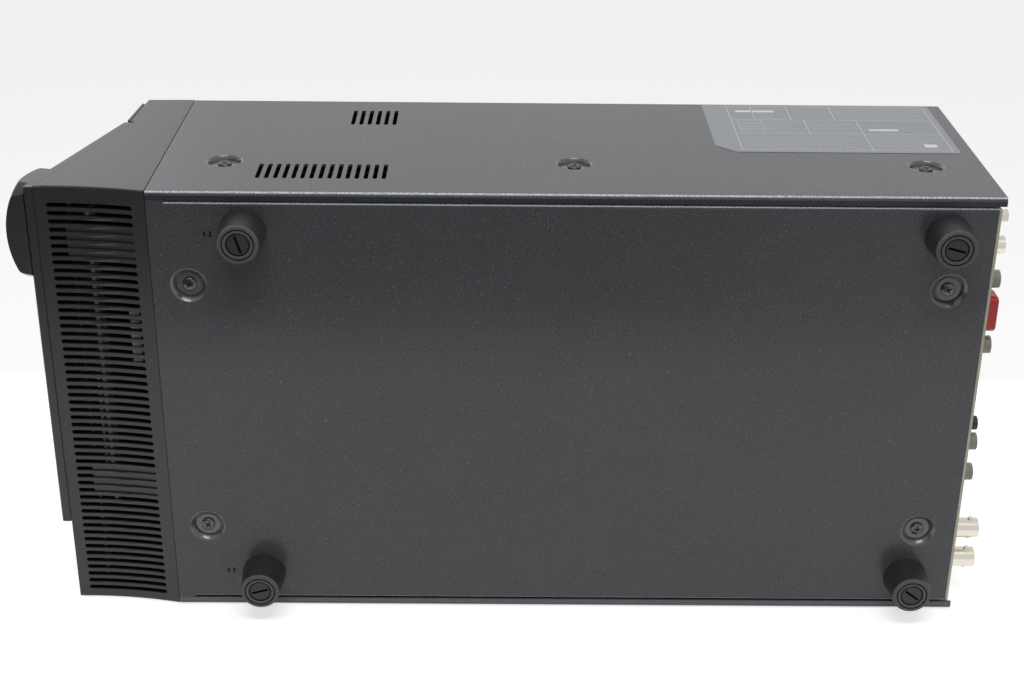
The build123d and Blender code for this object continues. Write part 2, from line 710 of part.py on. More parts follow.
def make_front_moulding() -> Part:
    """Hollow plastic front: sloping face, upright brow, slotted underside."""
    left_half = prism_x(front_profile(), (-HALF_W, 0))
    side_edges = left_half.faces().sort_by(Axis.X)[0].edges()
    left_half = fillet([e for e in side_edges if e.center().Y < -SIDE_EDGE_R], SIDE_EDGE_R)
    body = left_half + mirror(left_half, about=Plane.YZ)
    body = body - prism_x(inset_profile(WALL), (WALL - HALF_W, HALF_W - WALL))
    body = body - grille_slots()
    body = body + slot_bosses()
    for x, s in board_boss_places():
        pillar = Pos(x, s, 0) * between(CONTROL_BOARD_OUT, -WALL / 2, Circle(STANDOFF_R))
        hole = Pos(x, s, 0) * between(CONTROL_BOARD_OUT, -WALL, Circle(M3_R + THREAD_GAP))
        body = body + SLOPE * pillar - SLOPE * hole
    holes = [SLOPE * key_hole(spec) for spec in SLOPE_KEYS]
    holes.append(UPRIGHT * key_hole(OPEN_KEY))
    x, s, width, height = WINDOW
    sight = Rectangle(width - 2 * WINDOW_RIM, height - 2 * WINDOW_RIM)
    holes.append(SLOPE * (Pos(x, s, 0) * between(-2 * WALL, OVERRUN, sight)))
    holes.append(SLOPE * (Pos(BOSS_X, BOSS_S, 0) * between(-2 * WALL, OVERRUN, shaft_hole())))
    return body - holes - tray_mouth()


def shaft_hole() -> Sketch:
    """Clearance hole round the dial's shaft."""
    return Circle(DIAL_SHAFT_R + DIAL_GAP)


def make_control_panel() -> Part:
    """Thick panel proud of the slope, with its window, key holes and shaft hole."""
    width = HALF_W - PANEL_SIDE_GAP - PANEL_LEFT_X
    top = SLOPE_LENGTH - PANEL_TOP_GAP
    outline = Pos(PANEL_LEFT_X + width / 2, top / 2) * Rectangle(width, top + 2 * PANEL_T)
    panel = SLOPE * between(0, PANEL_T, outline)
    panel = panel & block((-CASE_W, CASE_W), (-CASE_W, CASE_W), (PANEL_BOTTOM_Z, LEDGE_Z))
    panel = chamfer(panel.edges().filter_by(Axis.X).group_by(Axis.Y)[0], PANEL_EDGE)
    x, s, w, h = WINDOW
    cuts = [SLOPE * key_hole(spec) for spec in SLOPE_KEYS]
    through = (-OVERRUN, PANEL_T + OVERRUN)
    cuts.append(SLOPE * (Pos(x, s, 0) * between(*through, RectangleRounded(w, h, WINDOW_R))))
    cuts.append(SLOPE * (Pos(BOSS_X, BOSS_S, 0) * between(*through, shaft_hole())))
    return panel - cuts


def make_display_window() -> Part:
    """Clear window lying on the slope inside the panel's opening."""
    x, s, w, h = WINDOW
    pane = RectangleRounded(w - 2 * WINDOW_GAP, h - 2 * WINDOW_GAP, WINDOW_R - WINDOW_GAP)
    return SLOPE * (Pos(x, s, 0) * between(0, WINDOW_T, pane))


def make_display_module() -> Part:
    """Display glass and holder standing on the control board."""
    x, s, w, h = WINDOW
    sight_w = w - 2 * WINDOW_RIM
    sight_h = h - 2 * WINDOW_RIM
    top = -WALL - KEY_SEAT_GAP
    frame = Rectangle(sight_w + 2 * DISPLAY_HOLDER_W, sight_h + 2 * DISPLAY_HOLDER_W)
    holder = between(CONTROL_BOARD_OUT, top, frame)
    glass = Rectangle(sight_w - 2 * DISPLAY_SINK, sight_h - 2 * DISPLAY_SINK)
    glass = between(top, -DISPLAY_SINK, glass)
    return SLOPE * (Pos(x, s, 0) * (holder + glass))


def make_tray_band() -> Part:
    """Thin raised band across the upright brow, open for the tray and the open key."""
    height = BAND_S[1] - BAND_S[0]
    outline = Pos(0, sum(BAND_S) / 2) * Rectangle(CASE_W, height)
    band = UPRIGHT * between(0, BAND_T, outline)
    band = chamfer(band.faces().sort_by(Axis.Y)[0].edges(), BAND_EDGE)
    return band - tray_mouth() - UPRIGHT * key_hole(OPEN_KEY)


# Domed boss and dial

def dome_body(radius: float, base: float, edge_r: float) -> Part:
    """Round block under one domed surface, standing from a level of the slope."""
    column = Pos(0, base) * Rectangle(radius, DOME_R, align=(Align.MIN, Align.MIN))
    half = column & (Pos(0, PANEL_T - DOME_DEPTH) * Circle(DOME_R))
    rim = half.vertices().sort_by(Axis.X)[-2:].sort_by(Axis.Y)[-1]
    return revolve(Plane.XZ * fillet(rim, edge_r), Axis.Z)


def make_dial_boss() -> Part:
    """Domed boss round the dial, trimmed level with the case's side and underside."""
    boss = dome_body(BOSS_R, PANEL_T, BOSS_EDGE_R)
    pocket = between(PANEL_T + DIAL_FLOOR, PANEL_T + DOME_R, Circle(DIAL_R + DIAL_GAP))
    bore = between(PANEL_T - OVERRUN, PANEL_T + DIAL_FLOOR + OVERRUN, shaft_hole())
    boss = SLOPE * (Pos(BOSS_X, BOSS_S, 0) * (boss - pocket - bore))
    keep = block((0, HALF_W - PANEL_SIDE_GAP), (-CASE_W, 0), (PANEL_BOTTOM_Z, CASE_H))
    return boss & keep


def make_jog_dial() -> Part:
    """Dial that fills the dome, with a finger dip and its shaft."""
    dial = dome_body(DIAL_R, PANEL_T + DIAL_FLOOR + DIAL_LIFT, KEY_EDGE_R)
    top = PANEL_T - DOME_DEPTH + DOME_R
    dip = Pos(0, FINGER_AT, top + FINGER_R - FINGER_DEPTH) * Sphere(FINGER_R)
    shaft_top = PANEL_T + DIAL_FLOOR + DIAL_LIFT + OVERRUN
    shaft = between(CONTROL_BOARD_OUT + 2 * DIAL_LIFT, shaft_top, Circle(DIAL_SHAFT_R))
    return SLOPE * (Pos(BOSS_X, BOSS_S, 0) * (dial - dip + shaft))


def make_dial_encoder() -> Part:
    """Rotary switch on the control board that carries the dial's shaft."""
    outline = RectangleRounded(ENCODER_S, ENCODER_S, ENCODER_R)
    body = between(CONTROL_BOARD_OUT, -WALL - KEY_SEAT_GAP, outline)
    bore = between(CONTROL_BOARD_OUT + DIAL_LIFT, 0, Circle(DIAL_SHAFT_R + RUN_GAP))
    return SLOPE * (Pos(BOSS_X, BOSS_S, 0) * (body - bore))


# Keys: each has its outline, its place on its face and how far the face stands proud

class Key:
    """One push key on a leaning face."""

    def __init__(self, x: float, s: float, size: tuple, face: float):
        self.x = x
        self.s = s
        self.size = size
        self.face = face

    def outline(self, grow: float) -> Sketch:
        """Key outline grown all round."""
        if len(self.size) == 1:
            return Circle(self.size[0] + grow)
        width, height = self.size
        return RectangleRounded(width + 2 * grow, height + 2 * grow, KEY_CORNER_R + grow)


def key_hole(key: Key) -> Part:
    """Opening for a key through the moulding and whatever lies on it."""
    return Pos(key.x, key.s, 0) * between(-2 * WALL, PANEL_T + OVERRUN, key.outline(KEY_GAP))


def make_key(key: Key) -> Part:
    """Key cap with a flange behind the moulding and a stem towards its switch."""
    flange_top = -WALL - KEY_SEAT_GAP
    cap = between(flange_top, key.face + KEY_PROUD, key.outline(0))
    cap = fillet(cap.edges().group_by(Axis.Z)[-1], KEY_EDGE_R)
    flange = between(flange_top - KEY_FLANGE_T, flange_top, key.outline(KEY_FLANGE))
    stem = between(switch_top() + KEY_TRAVEL + KEY_SEAT_GAP, flange_top, Circle(STEM_R))
    return Pos(key.x, key.s, 0) * (cap + flange + stem)


def switch_top() -> float:
    """Level of the switches' tops above the control board."""
    return CONTROL_BOARD_OUT + SWITCH_H


TRANSPORT = {name: Key(KEY_FIRST_X + i * KEY_PITCH, TRANSPORT_S, TRANSPORT_SIZE, PANEL_T)
             for i, name in enumerate(TRANSPORT_KEYS)}
MENU = {name: Key(KEY_FIRST_X + i * KEY_PITCH, MENU_S, MENU_SIZE, PANEL_T)
        for i, name in enumerate(MENU_KEYS)}
POWER_KEY_SPEC = Key(POWER_KEY[0], POWER_KEY[1], (POWER_KEY_R,), 0)
OPEN_KEY = Key(OPEN_KEY_X, OPEN_KEY_S, OPEN_KEY_SIZE, BAND_T)
SLOPE_KEYS = [*TRANSPORT.values(), *MENU.values(), POWER_KEY_SPEC]


def make_key_switches() -> Compound:
    """Small square switches on the control board, one behind each key."""
    outline = RectangleRounded(SWITCH_S, SWITCH_S, SWITCH_R)
    switch = between(CONTROL_BOARD_OUT, switch_top(), outline)
    return Compound(children=[SLOPE.location * Pos(key.x, key.s, 0) * copy(switch)
                              for key in SLOPE_KEYS] + [make_open_switch()])


def make_control_board() -> Part:
    """Circuit board behind the slope, on the moulding's pillars."""
    x0, x1, s0, s1 = CONTROL_BOARD
    back = CONTROL_BOARD_OUT - BOARD_T
    outline = Pos((x0 + x1) / 2, (s0 + s1) / 2) * Rectangle(x1 - x0, s1 - s0)
    board = between(back, CONTROL_BOARD_OUT, outline)
    holes = [Pos(x, s, 0) * between(back - OVERRUN, 0, Circle(M3_R + HOLE_GAP))
             for x, s in board_boss_places()]
    return SLOPE * (board - holes)


def board_screw_places() -> list:
    """Behind the control board, heads towards the rear."""
    back = CONTROL_BOARD_OUT - BOARD_T
    return [SLOPE.location * Pos(x, s, back) * Rot(180, 0, 0) for x, s in board_boss_places()]


def make_open_switch() -> Part:
    """Bracketed switch behind the open key, standing on the brow's inner wall."""
    arm_s = OPEN_KEY_SIZE[1] / 2 + KEY_FLANGE + OPEN_ARM[1]
    arm = Pos(0, arm_s, 0) * between(CONTROL_BOARD_OUT, -WALL, Rectangle(*OPEN_ARM))
    outline = Rectangle(SWITCH_S, arm_s + SWITCH_S)
    body = Pos(0, arm_s / 2, 0) * between(CONTROL_BOARD_OUT, switch_top(), outline)
    return UPRIGHT * (Pos(OPEN_KEY_X, OPEN_KEY_S, 0) * (arm + body))


# Disc drive

def drive_z() -> tuple:
    """Lowest and highest level of the drive's case."""
    return (DRIVE_Z, DRIVE_Z + DRIVE_H)


def make_drive_tub() -> Part:
    """Folded lower case of the drive: floor, sides and rear wall."""
    z0, z1 = drive_z()
    half = DRIVE_W / 2
    tub = block((-half, half), (DRIVE_FRONT_Y, DRIVE_REAR_Y), (z0, z1 - DRIVE_SHEET))
    inside = half - DRIVE_SHEET
    return tub - block((-inside, inside), (DRIVE_FRONT_Y - OVERRUN, DRIVE_REAR_Y - DRIVE_SHEET),
                       (z0 + DRIVE_SHEET, z1 + OVERRUN))


def make_drive_lid() -> Part:
    """Flat lid on the drive with two stiffening grooves."""
    z1 = drive_z()[1]
    half = DRIVE_W / 2
    lid = block((-half, half), (DRIVE_FRONT_Y, DRIVE_REAR_Y), (z1 - DRIVE_SHEET, z1))
    groove = SlotOverall(DRIVE_W - 2 * LID_GROOVE_INSET, LID_GROOVE_W)
    grooves = Sketch() + [Pos(0, y) * groove for y in LID_GROOVE_Y]
    return lid - between(z1 - DRIVE_SHEET / 2, z1 + OVERRUN, grooves)


def make_tray_rail(side: int) -> Part:
    """Plastic channel rail on the drive's side wall that the tray runs in."""
    wall = DRIVE_W / 2 - DRIVE_SHEET
    tray_edge = TRAY_W / 2
    web = tray_edge + SLIDE_GAP
    lip = tray_edge - RAIL_T
    under = TRAY_Z - SLIDE_GAP
    over = TRAY_Z + TRAY_T + SLIDE_GAP
    span = (DRIVE_FRONT_Y + RAIL_START, DRIVE_REAR_Y - DRIVE_SHEET)
    rail = block((lip, wall), span, (under - RAIL_T, over + RAIL_T / 2))
    rail = rail - block((0, web), (span[0] - OVERRUN, span[1] + OVERRUN), (under, over))
    return rail if side > 0 else mirror(rail, Plane.YZ)


def disc_centre_y() -> float:
    """Disc centre with the tray closed."""
    return tray_plate_y()[0] + DISC_MARGIN + DISC_R + DISC_GAP


def tray_plate_y() -> tuple:
    """Front and rear ends of the tray's plate."""
    return (BROW[0] + TRAY_FRONT_T - BAND_T, TRAY_REAR_Y)


def make_disc_tray() -> Part:
    """Sliding tray with the stepped disc recess and the slot for hub and pickup."""
    y0, y1 = tray_plate_y()
    half = TRAY_W / 2
    top = TRAY_Z + TRAY_T
    floor = top - DISC_RECESS
    tray = block((-half, half), (y0, y1), (TRAY_Z, top))
    centre = disc_centre_y()
    tray = tray - cylinder_z(DISC_R + DISC_GAP, 0, centre, (floor, top + OVERRUN))
    tray = tray - cylinder_z(SMALL_DISC_R + DISC_GAP, 0, centre, (floor - SMALL_DISC_STEP, top))
    reach = SLED_NEAR + SLED_TRAVEL + SLED_L - SLED_FRONT
    slot = SlotOverall(reach + TRAY_SLOT_W, TRAY_SLOT_W, rotation=90)
    tray = tray - between(0, top + OVERRUN, Pos(0, centre + reach / 2) * slot)
    relief_half, relief_l = TRAY_RELIEF
    relief = Pos(0, y1) * Rectangle(2 * relief_half, 2 * relief_l)
    return tray - between(0, top + OVERRUN, relief)


def make_tray_front() -> Part:
    """Front of the tray, its face in line with the band."""
    outline = Pos(0, TRAY_MID_Z) * RectangleRounded(TRAY_FRONT_W, TRAY_FRONT_H, TRAY_FRONT_R)
    bar = prism_y(outline, (BROW[0] - 4 * BAND_T, tray_plate_y()[0]))
    size = 2 * CASE_W
    ahead = UPRIGHT * between(BAND_T, BAND_T + size, Rectangle(size, size))
    front = bar - ahead
    return chamfer(front.faces().sort_by(Axis.Y)[0].edges(), TRAY_FRONT_EDGE)


def make_mech_deck() -> Part:
    """Mechanism deck with its posts and the rod holders, under the tray."""
    centre = disc_centre_y()
    top = DECK_Z + DECK_T
    half = DECK_W / 2
    deck = block((-half, half), (centre - DECK_FRONT, centre + DECK_REAR), (DECK_Z, top))
    slot_half = ROD_X - ROD_SLOT_INSET
    slot_y = (centre + MOTOR_R + MOTOR_SLOT_GAP, centre + rod_y()[1])
    deck = deck - block((-slot_half, slot_half), slot_y, (DRIVE_Z, top + OVERRUN))
    post_z = (DRIVE_Z + DRIVE_SHEET, DECK_Z + OVERRUN)
    for side in (1, -1):
        for y in POST_Y:
            deck = deck + cylinder_z(POST_R, side * (half - POST_INSET), centre + y, post_z)
        for y in rod_y():
            holder = block((side * ROD_X - HOLDER_W / 2, side * ROD_X + HOLDER_W / 2),
                           (centre + y - HOLDER_L / 2, centre + y + HOLDER_L / 2),
                           (top - OVERRUN, rod_z() + ROD_R + HOLDER_COVER))
            deck = deck + holder
    return deck - rods(THREAD_GAP)


def rod_y() -> tuple:
    """Rod holders' places behind the disc centre."""
    near = SLED_NEAR - SLED_FRONT
    return (near - ROD_END, near + SLED_L + SLED_TRAVEL + ROD_END)


def rod_z() -> float:
    """Level of the guide rods."""
    return DECK_Z + DECK_T + ROD_R + ROD_LIFT


def rods(grow: float) -> list:
    """The two guide rods, grown all round for their holders."""
    centre = disc_centre_y()
    y = (centre + rod_y()[0] - HOLDER_L / 2, centre + rod_y()[1] + HOLDER_L / 2)
    return [cylinder_y(ROD_R + grow, side * ROD_X, rod_z(), y) for side in (1, -1)]


def make_pickup_sled() -> Part:
    """Carriage that runs on the two rods and carries the lens."""
    centre = disc_centre_y()
    y = (centre + SLED_NEAR - SLED_FRONT, centre + SLED_NEAR - SLED_FRONT + SLED_L)
    half = ROD_X + SLED_SIDE
    sled = block((-half, half), y, (rod_z() - SLED_UNDER, rod_z() + SLED_TOP))
    sled = chamfer(sled.edges().filter_by(Axis.Z), SLED_CORNER)
    arch_inset, arch_drop = SLED_ARCH
    arch_half = ROD_X - arch_inset
    sled = sled - block((-arch_half, arch_half), y, (DRIVE_Z, rod_z() - arch_drop))
    return sled - rods(RUN_GAP)


def make_pickup_lens() -> Part:
    """Lens dome on the carriage."""
    top = rod_z() + SLED_TOP
    y = disc_centre_y() + SLED_NEAR
    dome = Pos(0, y, top - LENS_R) * Sphere(1.5 * LENS_R)
    return cylinder_z(LENS_R, 0, y, (top, top + 2 * LENS_R)) & dome


def make_spindle_motor() -> Part:
    """Flat motor on the deck with its spindle."""
    y = disc_centre_y()
    base = DECK_Z + DECK_T
    motor = cylinder_z(MOTOR_R, 0, y, (base, base + MOTOR_H))
    spindle_top = base + MOTOR_H + TURNTABLE_T + SPINDLE_TIP
    return motor + cylinder_z(SPINDLE_R, 0, y, (base, spindle_top))


def make_turntable() -> Part:
    """Disc table with its centring hub, turning on the motor's spindle."""
    y = disc_centre_y()
    base = DECK_Z + DECK_T + MOTOR_H + KEY_SEAT_GAP
    top = base + TURNTABLE_T
    table = cylinder_z(TURNTABLE_R, 0, y, (base, top))
    table = table + Pos(0, y, top + HUB_H / 2) * Cone(HUB_R, HUB_R - HUB_TAPER, HUB_H)
    bore_top = base + TURNTABLE_T + SPINDLE_TIP + KEY_SEAT_GAP
    bore = cylinder_z(SPINDLE_R + RUN_GAP, 0, y, (base - OVERRUN, bore_top))
    return table - bore


def make_clamp_bridge() -> Part:
    """Strip across the drive, over the tray, that the disc clamp hangs in."""
    y = disc_centre_y()
    strip = Rectangle(DRIVE_W - 2 * DRIVE_SHEET, CLAMP_BRIDGE_W)
    strip = Pos(0, y) * (strip - Circle(CLAMP_NECK_R + CLAMP_NECK_GAP))
    return between(CLAMP_BRIDGE_Z, CLAMP_BRIDGE_Z + CLAMP_BRIDGE_T, strip)


def make_disc_clamp() -> Part:
    """Spool-shaped clamp that presses a disc on the turntable."""
    y = disc_centre_y()
    rest = CLAMP_BRIDGE_Z + CLAMP_BRIDGE_T + KEY_SEAT_GAP
    foot = CLAMP_BRIDGE_Z - 2 * KEY_SEAT_GAP
    return (cylinder_z(CLAMP_R, 0, y, (rest, rest + CLAMP_T))
            + cylinder_z(CLAMP_NECK_R, 0, y, (foot - CLAMP_T, rest + CLAMP_T))
            + cylinder_z(CLAMP_R - CLAMP_FOOT_INSET, 0, y, (foot - CLAMP_T, foot)))


def make_drive_bracket() -> Part:
    """Bridge that carries the drive, with four tabs down to the pan's sides."""
    z = (DRIVE_Z - SHEET, DRIVE_Z)
    y = (SIDE_SCREW_Y[0] - BRACKET_TAB_L / 2, SIDE_SCREW_Y[1] + BRACKET_TAB_L / 2)
    bridge = block((-PAN_INNER, PAN_INNER), y, z)
    for centre in SIDE_SCREW_Y[:2]:
        tab_y = (centre - BRACKET_TAB_L / 2, centre + BRACKET_TAB_L / 2)
        for side in (1, -1):
            tab_x = sorted((side * PAN_INNER, side * (PAN_INNER - SHEET)))
            bridge = bridge + block(tab_x, tab_y, (SIDE_SCREW_Z - BRACKET_TAB_L / 2, z[1]))
    slot = SlotOverall(*BRACKET_SLOT)
    bridge = bridge - [between(0, CASE_H, Pos(0, slot_y) * slot) for slot_y in BRACKET_SLOT_Y]
    tapped = [seat * (Pos(0, 0, -BRACKET_TAB_L / 2) * Cylinder(M4_R + THREAD_GAP, BRACKET_TAB_L))
              for seat in SIDE_SEATS]
    return bridge - tapped


def make_front_frame() -> Part:
    """Steel frame that closes the case behind the moulding, with its foot on the pan."""
    side = HALF_W - SHEET - SEAM_GAP
    top = CASE_H - SHEET - SEAM_GAP
    frame = block((-side, side), (0, FRAME_T), (PAN_DISH_TOP, top))
    z0, z1 = drive_z()
    through = (-OVERRUN, FRAME_T + OVERRUN)
    mouth_half = DRIVE_W / 2 + FRAME_MOUTH_GAP
    mouth = block((-mouth_half, mouth_half), through, (z0 - FRAME_MOUTH_GAP, z1 + FRAME_MOUTH_GAP))
    window = block((-FRAME_WINDOW_X, FRAME_WINDOW_X), through, FRAME_WINDOW_Z)
    foot_half = PAN_SCREW_X + FRAME_FOOT_SIDE
    foot = block((-foot_half, foot_half), (0, FRAME_FOOT_L), (PAN_DISH_TOP, PAN_DISH_TOP + FRAME_T))
    tapped = [seat * (Pos(0, 0, -PAN_DISH_TOP) * Cylinder(M4_R + THREAD_GAP, 4 * SHEET))
              for seat in PAN_SEATS]
    notch_gap, notch_rear = PAN_NOTCH
    for hand in (1, -1):
        notch_x = sorted((hand * (PAN_INNER - notch_gap), hand * (HALF_W + OVERRUN)))
        frame = frame - block(notch_x, (SEAM_GAP - notch_gap, notch_rear), (0, PAN_SIDE_H + OVERRUN))
    return frame - mouth - window + foot - tapped


# Boards and power supply

def board_places(area: tuple, inset: float) -> list:
    """Screw places along a flat board's two side edges."""
    x0, x1, y0, y1 = area
    return [(x, y) for x in (x0 + BOARD_INSET, x1 - BOARD_INSET) for y in (y0 + inset, y1 - inset)]


def flat_board(area: tuple, inset: float) -> Part:
    """Flat circuit board with its four screw holes."""
    x0, x1, y0, y1 = area
    board = block((x0, x1), (y0, y1), (BOARD_Z, BOARD_TOP))
    return board - [cylinder_z(M3_R + HOLE_GAP, x, y, (0, 2 * BOARD_Z))
                    for x, y in board_places(area, inset)]


def standoff_places() -> list:
    """Screw places of both flat boards."""
    return board_places(MAIN_BOARD, MAIN_SCREW_INSET) + board_places(POWER_BOARD, POWER_SCREW_INSET)


def make_standoffs() -> Compound:
    """Threaded pillars between the pan and both flat boards."""
    pillar = cylinder_z(STANDOFF_R, 0, 0, (SHEET, BOARD_Z))
    tapped = (SHEET + STANDOFF_FLOOR, BOARD_Z + OVERRUN)
    pillar = pillar - cylinder_z(M3_R + THREAD_GAP, 0, 0, tapped)
    return Compound(children=[Location((x, y, 0)) * copy(pillar) for x, y in standoff_places()])


def flat_board_screw_places() -> list:
    """On top of both flat boards."""
    return [Location((x, y, BOARD_TOP)) for x, y in standoff_places()]


def heatsink(corner: tuple, size: tuple, fins: int) -> Part:
    """Finned aluminium block with upright fins along Y, from its left front corner."""
    x, y = corner
    width, length, height = size
    sink = block((x, x + width), (y, y + length), (BOARD_TOP, BOARD_TOP + height))
    pitch = width / fins
    gap_y = (y - OVERRUN, y + length + OVERRUN)
    gap_z = (BOARD_TOP + SINK_BASE, BOARD_TOP + height + OVERRUN)
    gaps = [block((x + (i + FIN_SHARE) * pitch, x + (i + 1) * pitch), gap_y, gap_z)
            for i in range(fins - 1)]
    return sink - gaps


def make_heatsinks() -> Compound:
    """Tall heatsink behind the right lower vents and a low one on the main board."""
    tall_x = POWER_BOARD[1] - POWER_SINK_SIDE_GAP - POWER_SINK[0]
    tall = heatsink((tall_x, POWER_BOARD[2] + POWER_SINK_AT_Y), POWER_SINK, POWER_SINK_FINS)
    low_at = (MAIN_BOARD[0] + MAIN_SINK_AT[0], MAIN_BOARD[2] + MAIN_SINK_AT[1])
    return Compound(children=[tall, heatsink(low_at, MAIN_SINK, MAIN_SINK_FINS)])


def make_power_transformer() -> Part:
    """Switching transformer: ferrite frame round a wound bobbin."""
    x, y = POWER_BOARD[0] + CORE_AT[0], POWER_BOARD[2] + CORE_AT[1]
    width, length, height = CORE
    core = block((x, x + width), (y, y + length), (BOARD_TOP, BOARD_TOP + height))
    window_x = (x + CORE_WALL, x + width - CORE_WALL)
    window_h = height - 2 * CORE_WALL
    middle = (y + length / 2, BOARD_TOP + height / 2)
    core = core - prism_x(Pos(*middle) * Rectangle(length + 2 * OVERRUN, window_h), window_x)
    winding = RectangleRounded(length + 2 * BOBBIN_OVERHANG, window_h - 2 * BOBBIN_GAP, BOBBIN_R)
    bobbin_x = (window_x[0] + BOBBIN_GAP, window_x[1] - BOBBIN_GAP)
    return core + prism_x(Pos(*middle) * winding, bobbin_x)


def make_power_capacitors() -> Compound:
    """Upright capacitors on the power board, their rims rounded."""
    cans = []
    for x, y, radius, height in CAPACITORS:
        can = cylinder_z(radius, POWER_BOARD[0] + x, POWER_BOARD[2] + y,
                         (BOARD_TOP, BOARD_TOP + height))
        cans.append(fillet(can.edges().group_by(Axis.Z)[-1], CAN_EDGE_R))
    return Compound(children=cans)


# Rear panel

def fan_holes() -> list:
    """Corner hole places of the fan in X and Z."""
    half = FAN_HOLE_SPACING / 2
    return [(FAN_X + i * half, FAN_Z + j * half) for i in (1, -1) for j in (1, -1)]


def make_rear_panel() -> Part:
    """Ivory rear plate with a foot on the pan and an opening for each thing it carries."""
    y = (REAR_Y - REAR_T, REAR_Y)
    side = PAN_HALF_W - OVERRUN
    top = CASE_H - SHEET - SEAM_GAP
    panel = block((-side, side), y, (0, top))
    foot_half = PAN_INNER - BEND_R
    foot = block((-foot_half, foot_half), (REAR_Y - REAR_FOOT_L, REAR_Y),
                 (PAN_DISH_TOP, PAN_DISH_TOP + REAR_T))
    fan_slots = [Pos(0, i * FAN_SLOT_PITCH) * SlotOverall(slot_length(i), FAN_SLOT_W)
                 for i in range(-FAN_SLOT_ROWS, FAN_SLOT_ROWS + 1)]
    cuts = Sketch() + [Pos(FAN_X, FAN_Z) * slot for slot in fan_slots]
    cuts += [Pos(x, z) * Circle(M3_R + HOLE_GAP) for x, z in fan_holes()]
    cuts += Pos(INLET_X, INLET_Z) * Rectangle(*(size + 2 * HOLE_GAP for size in INLET_BODY))
    cuts += [Pos(x, JACK_Z) * Circle(BNC_R + HOLE_GAP) for x in BNC_X]
    cuts += [Pos(x, JACK_Z) * Circle(JACK_COLLAR_R + HOLE_GAP) for x in (*JACK_X, DIGITAL_JACK_X)]
    red_size = (size + 2 * HOLE_GAP for size in RED_BLOCK)
    cuts += Pos(RED_BLOCK_X, JACK_Z) * RectangleRounded(*red_size, RED_BLOCK_R + HOLE_GAP)
    cuts += Pos(EARTH_X, JACK_Z) * Circle(EARTH_R / 2 + HOLE_GAP)
    cuts += Pos(REMOTE_X, JACK_Z) * Circle(REMOTE_R + HOLE_GAP)
    cuts += [Pos(x, VIDEO_SOCKET_Z) * Circle(VIDEO_SOCKET_R + HOLE_GAP) for x in VIDEO_SOCKET_X]
    tapped = [seat * (Pos(0, 0, -PAN_DISH_TOP) * Cylinder(M4_R + THREAD_GAP, 4 * SHEET))
              for seat in PAN_SEATS]
    return panel + foot - prism_y(cuts, (y[0] - OVERRUN, y[1] + OVERRUN)) - tapped


def slot_length(row: int) -> float:
    """Length of one finger-guard slot inside the fan's circle."""
    reach = FAN_BORE_R - FAN_SLOT_MARGIN
    return 2 * math.sqrt(reach ** 2 - (row * FAN_SLOT_PITCH) ** 2)


def socket_body(x: float, z: float, width: float, depth: float) -> Part:
    """Square body behind the panel, standing down to the main board."""
    half = width / 2
    return block((x - half, x + half), (PANEL_INSIDE - depth, PANEL_INSIDE), (BOARD_TOP, z + half))


def make_bnc_socket(x: float) -> Part:
    """Bayonet video socket with collar, lugs, bore and centre contact."""
    tip = REAR_Y + BNC_L
    barrel = cylinder_y(BNC_R, x, JACK_Z, (PANEL_INSIDE, tip))
    collar = cylinder_y(BNC_R + BNC_COLLAR, x, JACK_Z, (REAR_Y, REAR_Y + BNC_COLLAR))
    lug = Pos(tip - BNC_LUG_SETBACK, JACK_Z) * Circle(BNC_LUG_R)
    lugs = prism_x(lug, (x - BNC_LUG_REACH, x + BNC_LUG_REACH))
    bore = cylinder_y(BNC_BORE_R, x, JACK_Z, (REAR_Y + BNC_FLOOR, tip + OVERRUN))
    contact = cylinder_y(BNC_CONTACT_R, x, JACK_Z, (REAR_Y, tip - BNC_CONTACT_SETBACK))
    insulator = cylinder_y(BNC_INSULATOR_R, x, JACK_Z, (REAR_Y, tip - BNC_INSULATOR_SETBACK))
    shell = barrel + collar + lugs + socket_body(x, JACK_Z, BNC_BODY, SOCKET_DEPTH)
    return shell - bore + contact + insulator


def make_phono_jack(x: float) -> Part:
    """Phono socket: collar and round shell, centre hole and a body on the main board."""
    tip = REAR_Y + JACK_L
    collar = cylinder_y(JACK_COLLAR_R, x, JACK_Z, (PANEL_INSIDE, REAR_Y + JACK_COLLAR_L))
    shell = cylinder_y(JACK_R, x, JACK_Z, (REAR_Y, tip))
    hole = cylinder_y(JACK_HOLE_R, x, JACK_Z, (REAR_Y - JACK_HOLE_FLOOR, tip))
    groove = cylinder_y(JACK_R - JACK_WALL, x, JACK_Z, (REAR_Y + JACK_GROOVE_FLOOR, tip))
    core = cylinder_y(JACK_HOLE_R + JACK_CORE_WALL, x, JACK_Z, (REAR_Y, tip - JACK_CORE_SINK))
    body = socket_body(x, JACK_Z, JACK_BODY, SOCKET_DEPTH)
    return shell + collar - groove + core + body - hole


def make_red_block() -> Part:
    """Red moulded double socket block."""
    width, height = RED_BLOCK
    here = Pos(RED_BLOCK_X, JACK_Z)
    tip = REAR_Y + RED_BLOCK_L
    nose = prism_y(here * RectangleRounded(width, height, RED_BLOCK_R), (PANEL_INSIDE, tip))
    nose = fillet(nose.edges().group_by(Axis.Y)[-1], RED_BLOCK_EDGE_R)
    holes = [cylinder_y(RED_HOLE_R, RED_BLOCK_X + side * width / 4, JACK_Z, (REAR_Y, tip))
             for side in (1, -1)]
    body = block((RED_BLOCK_X - width / 2, RED_BLOCK_X + width / 2),
                 (PANEL_INSIDE - SOCKET_DEPTH, PANEL_INSIDE), (BOARD_TOP, JACK_Z + height / 2))
    return nose + body - holes


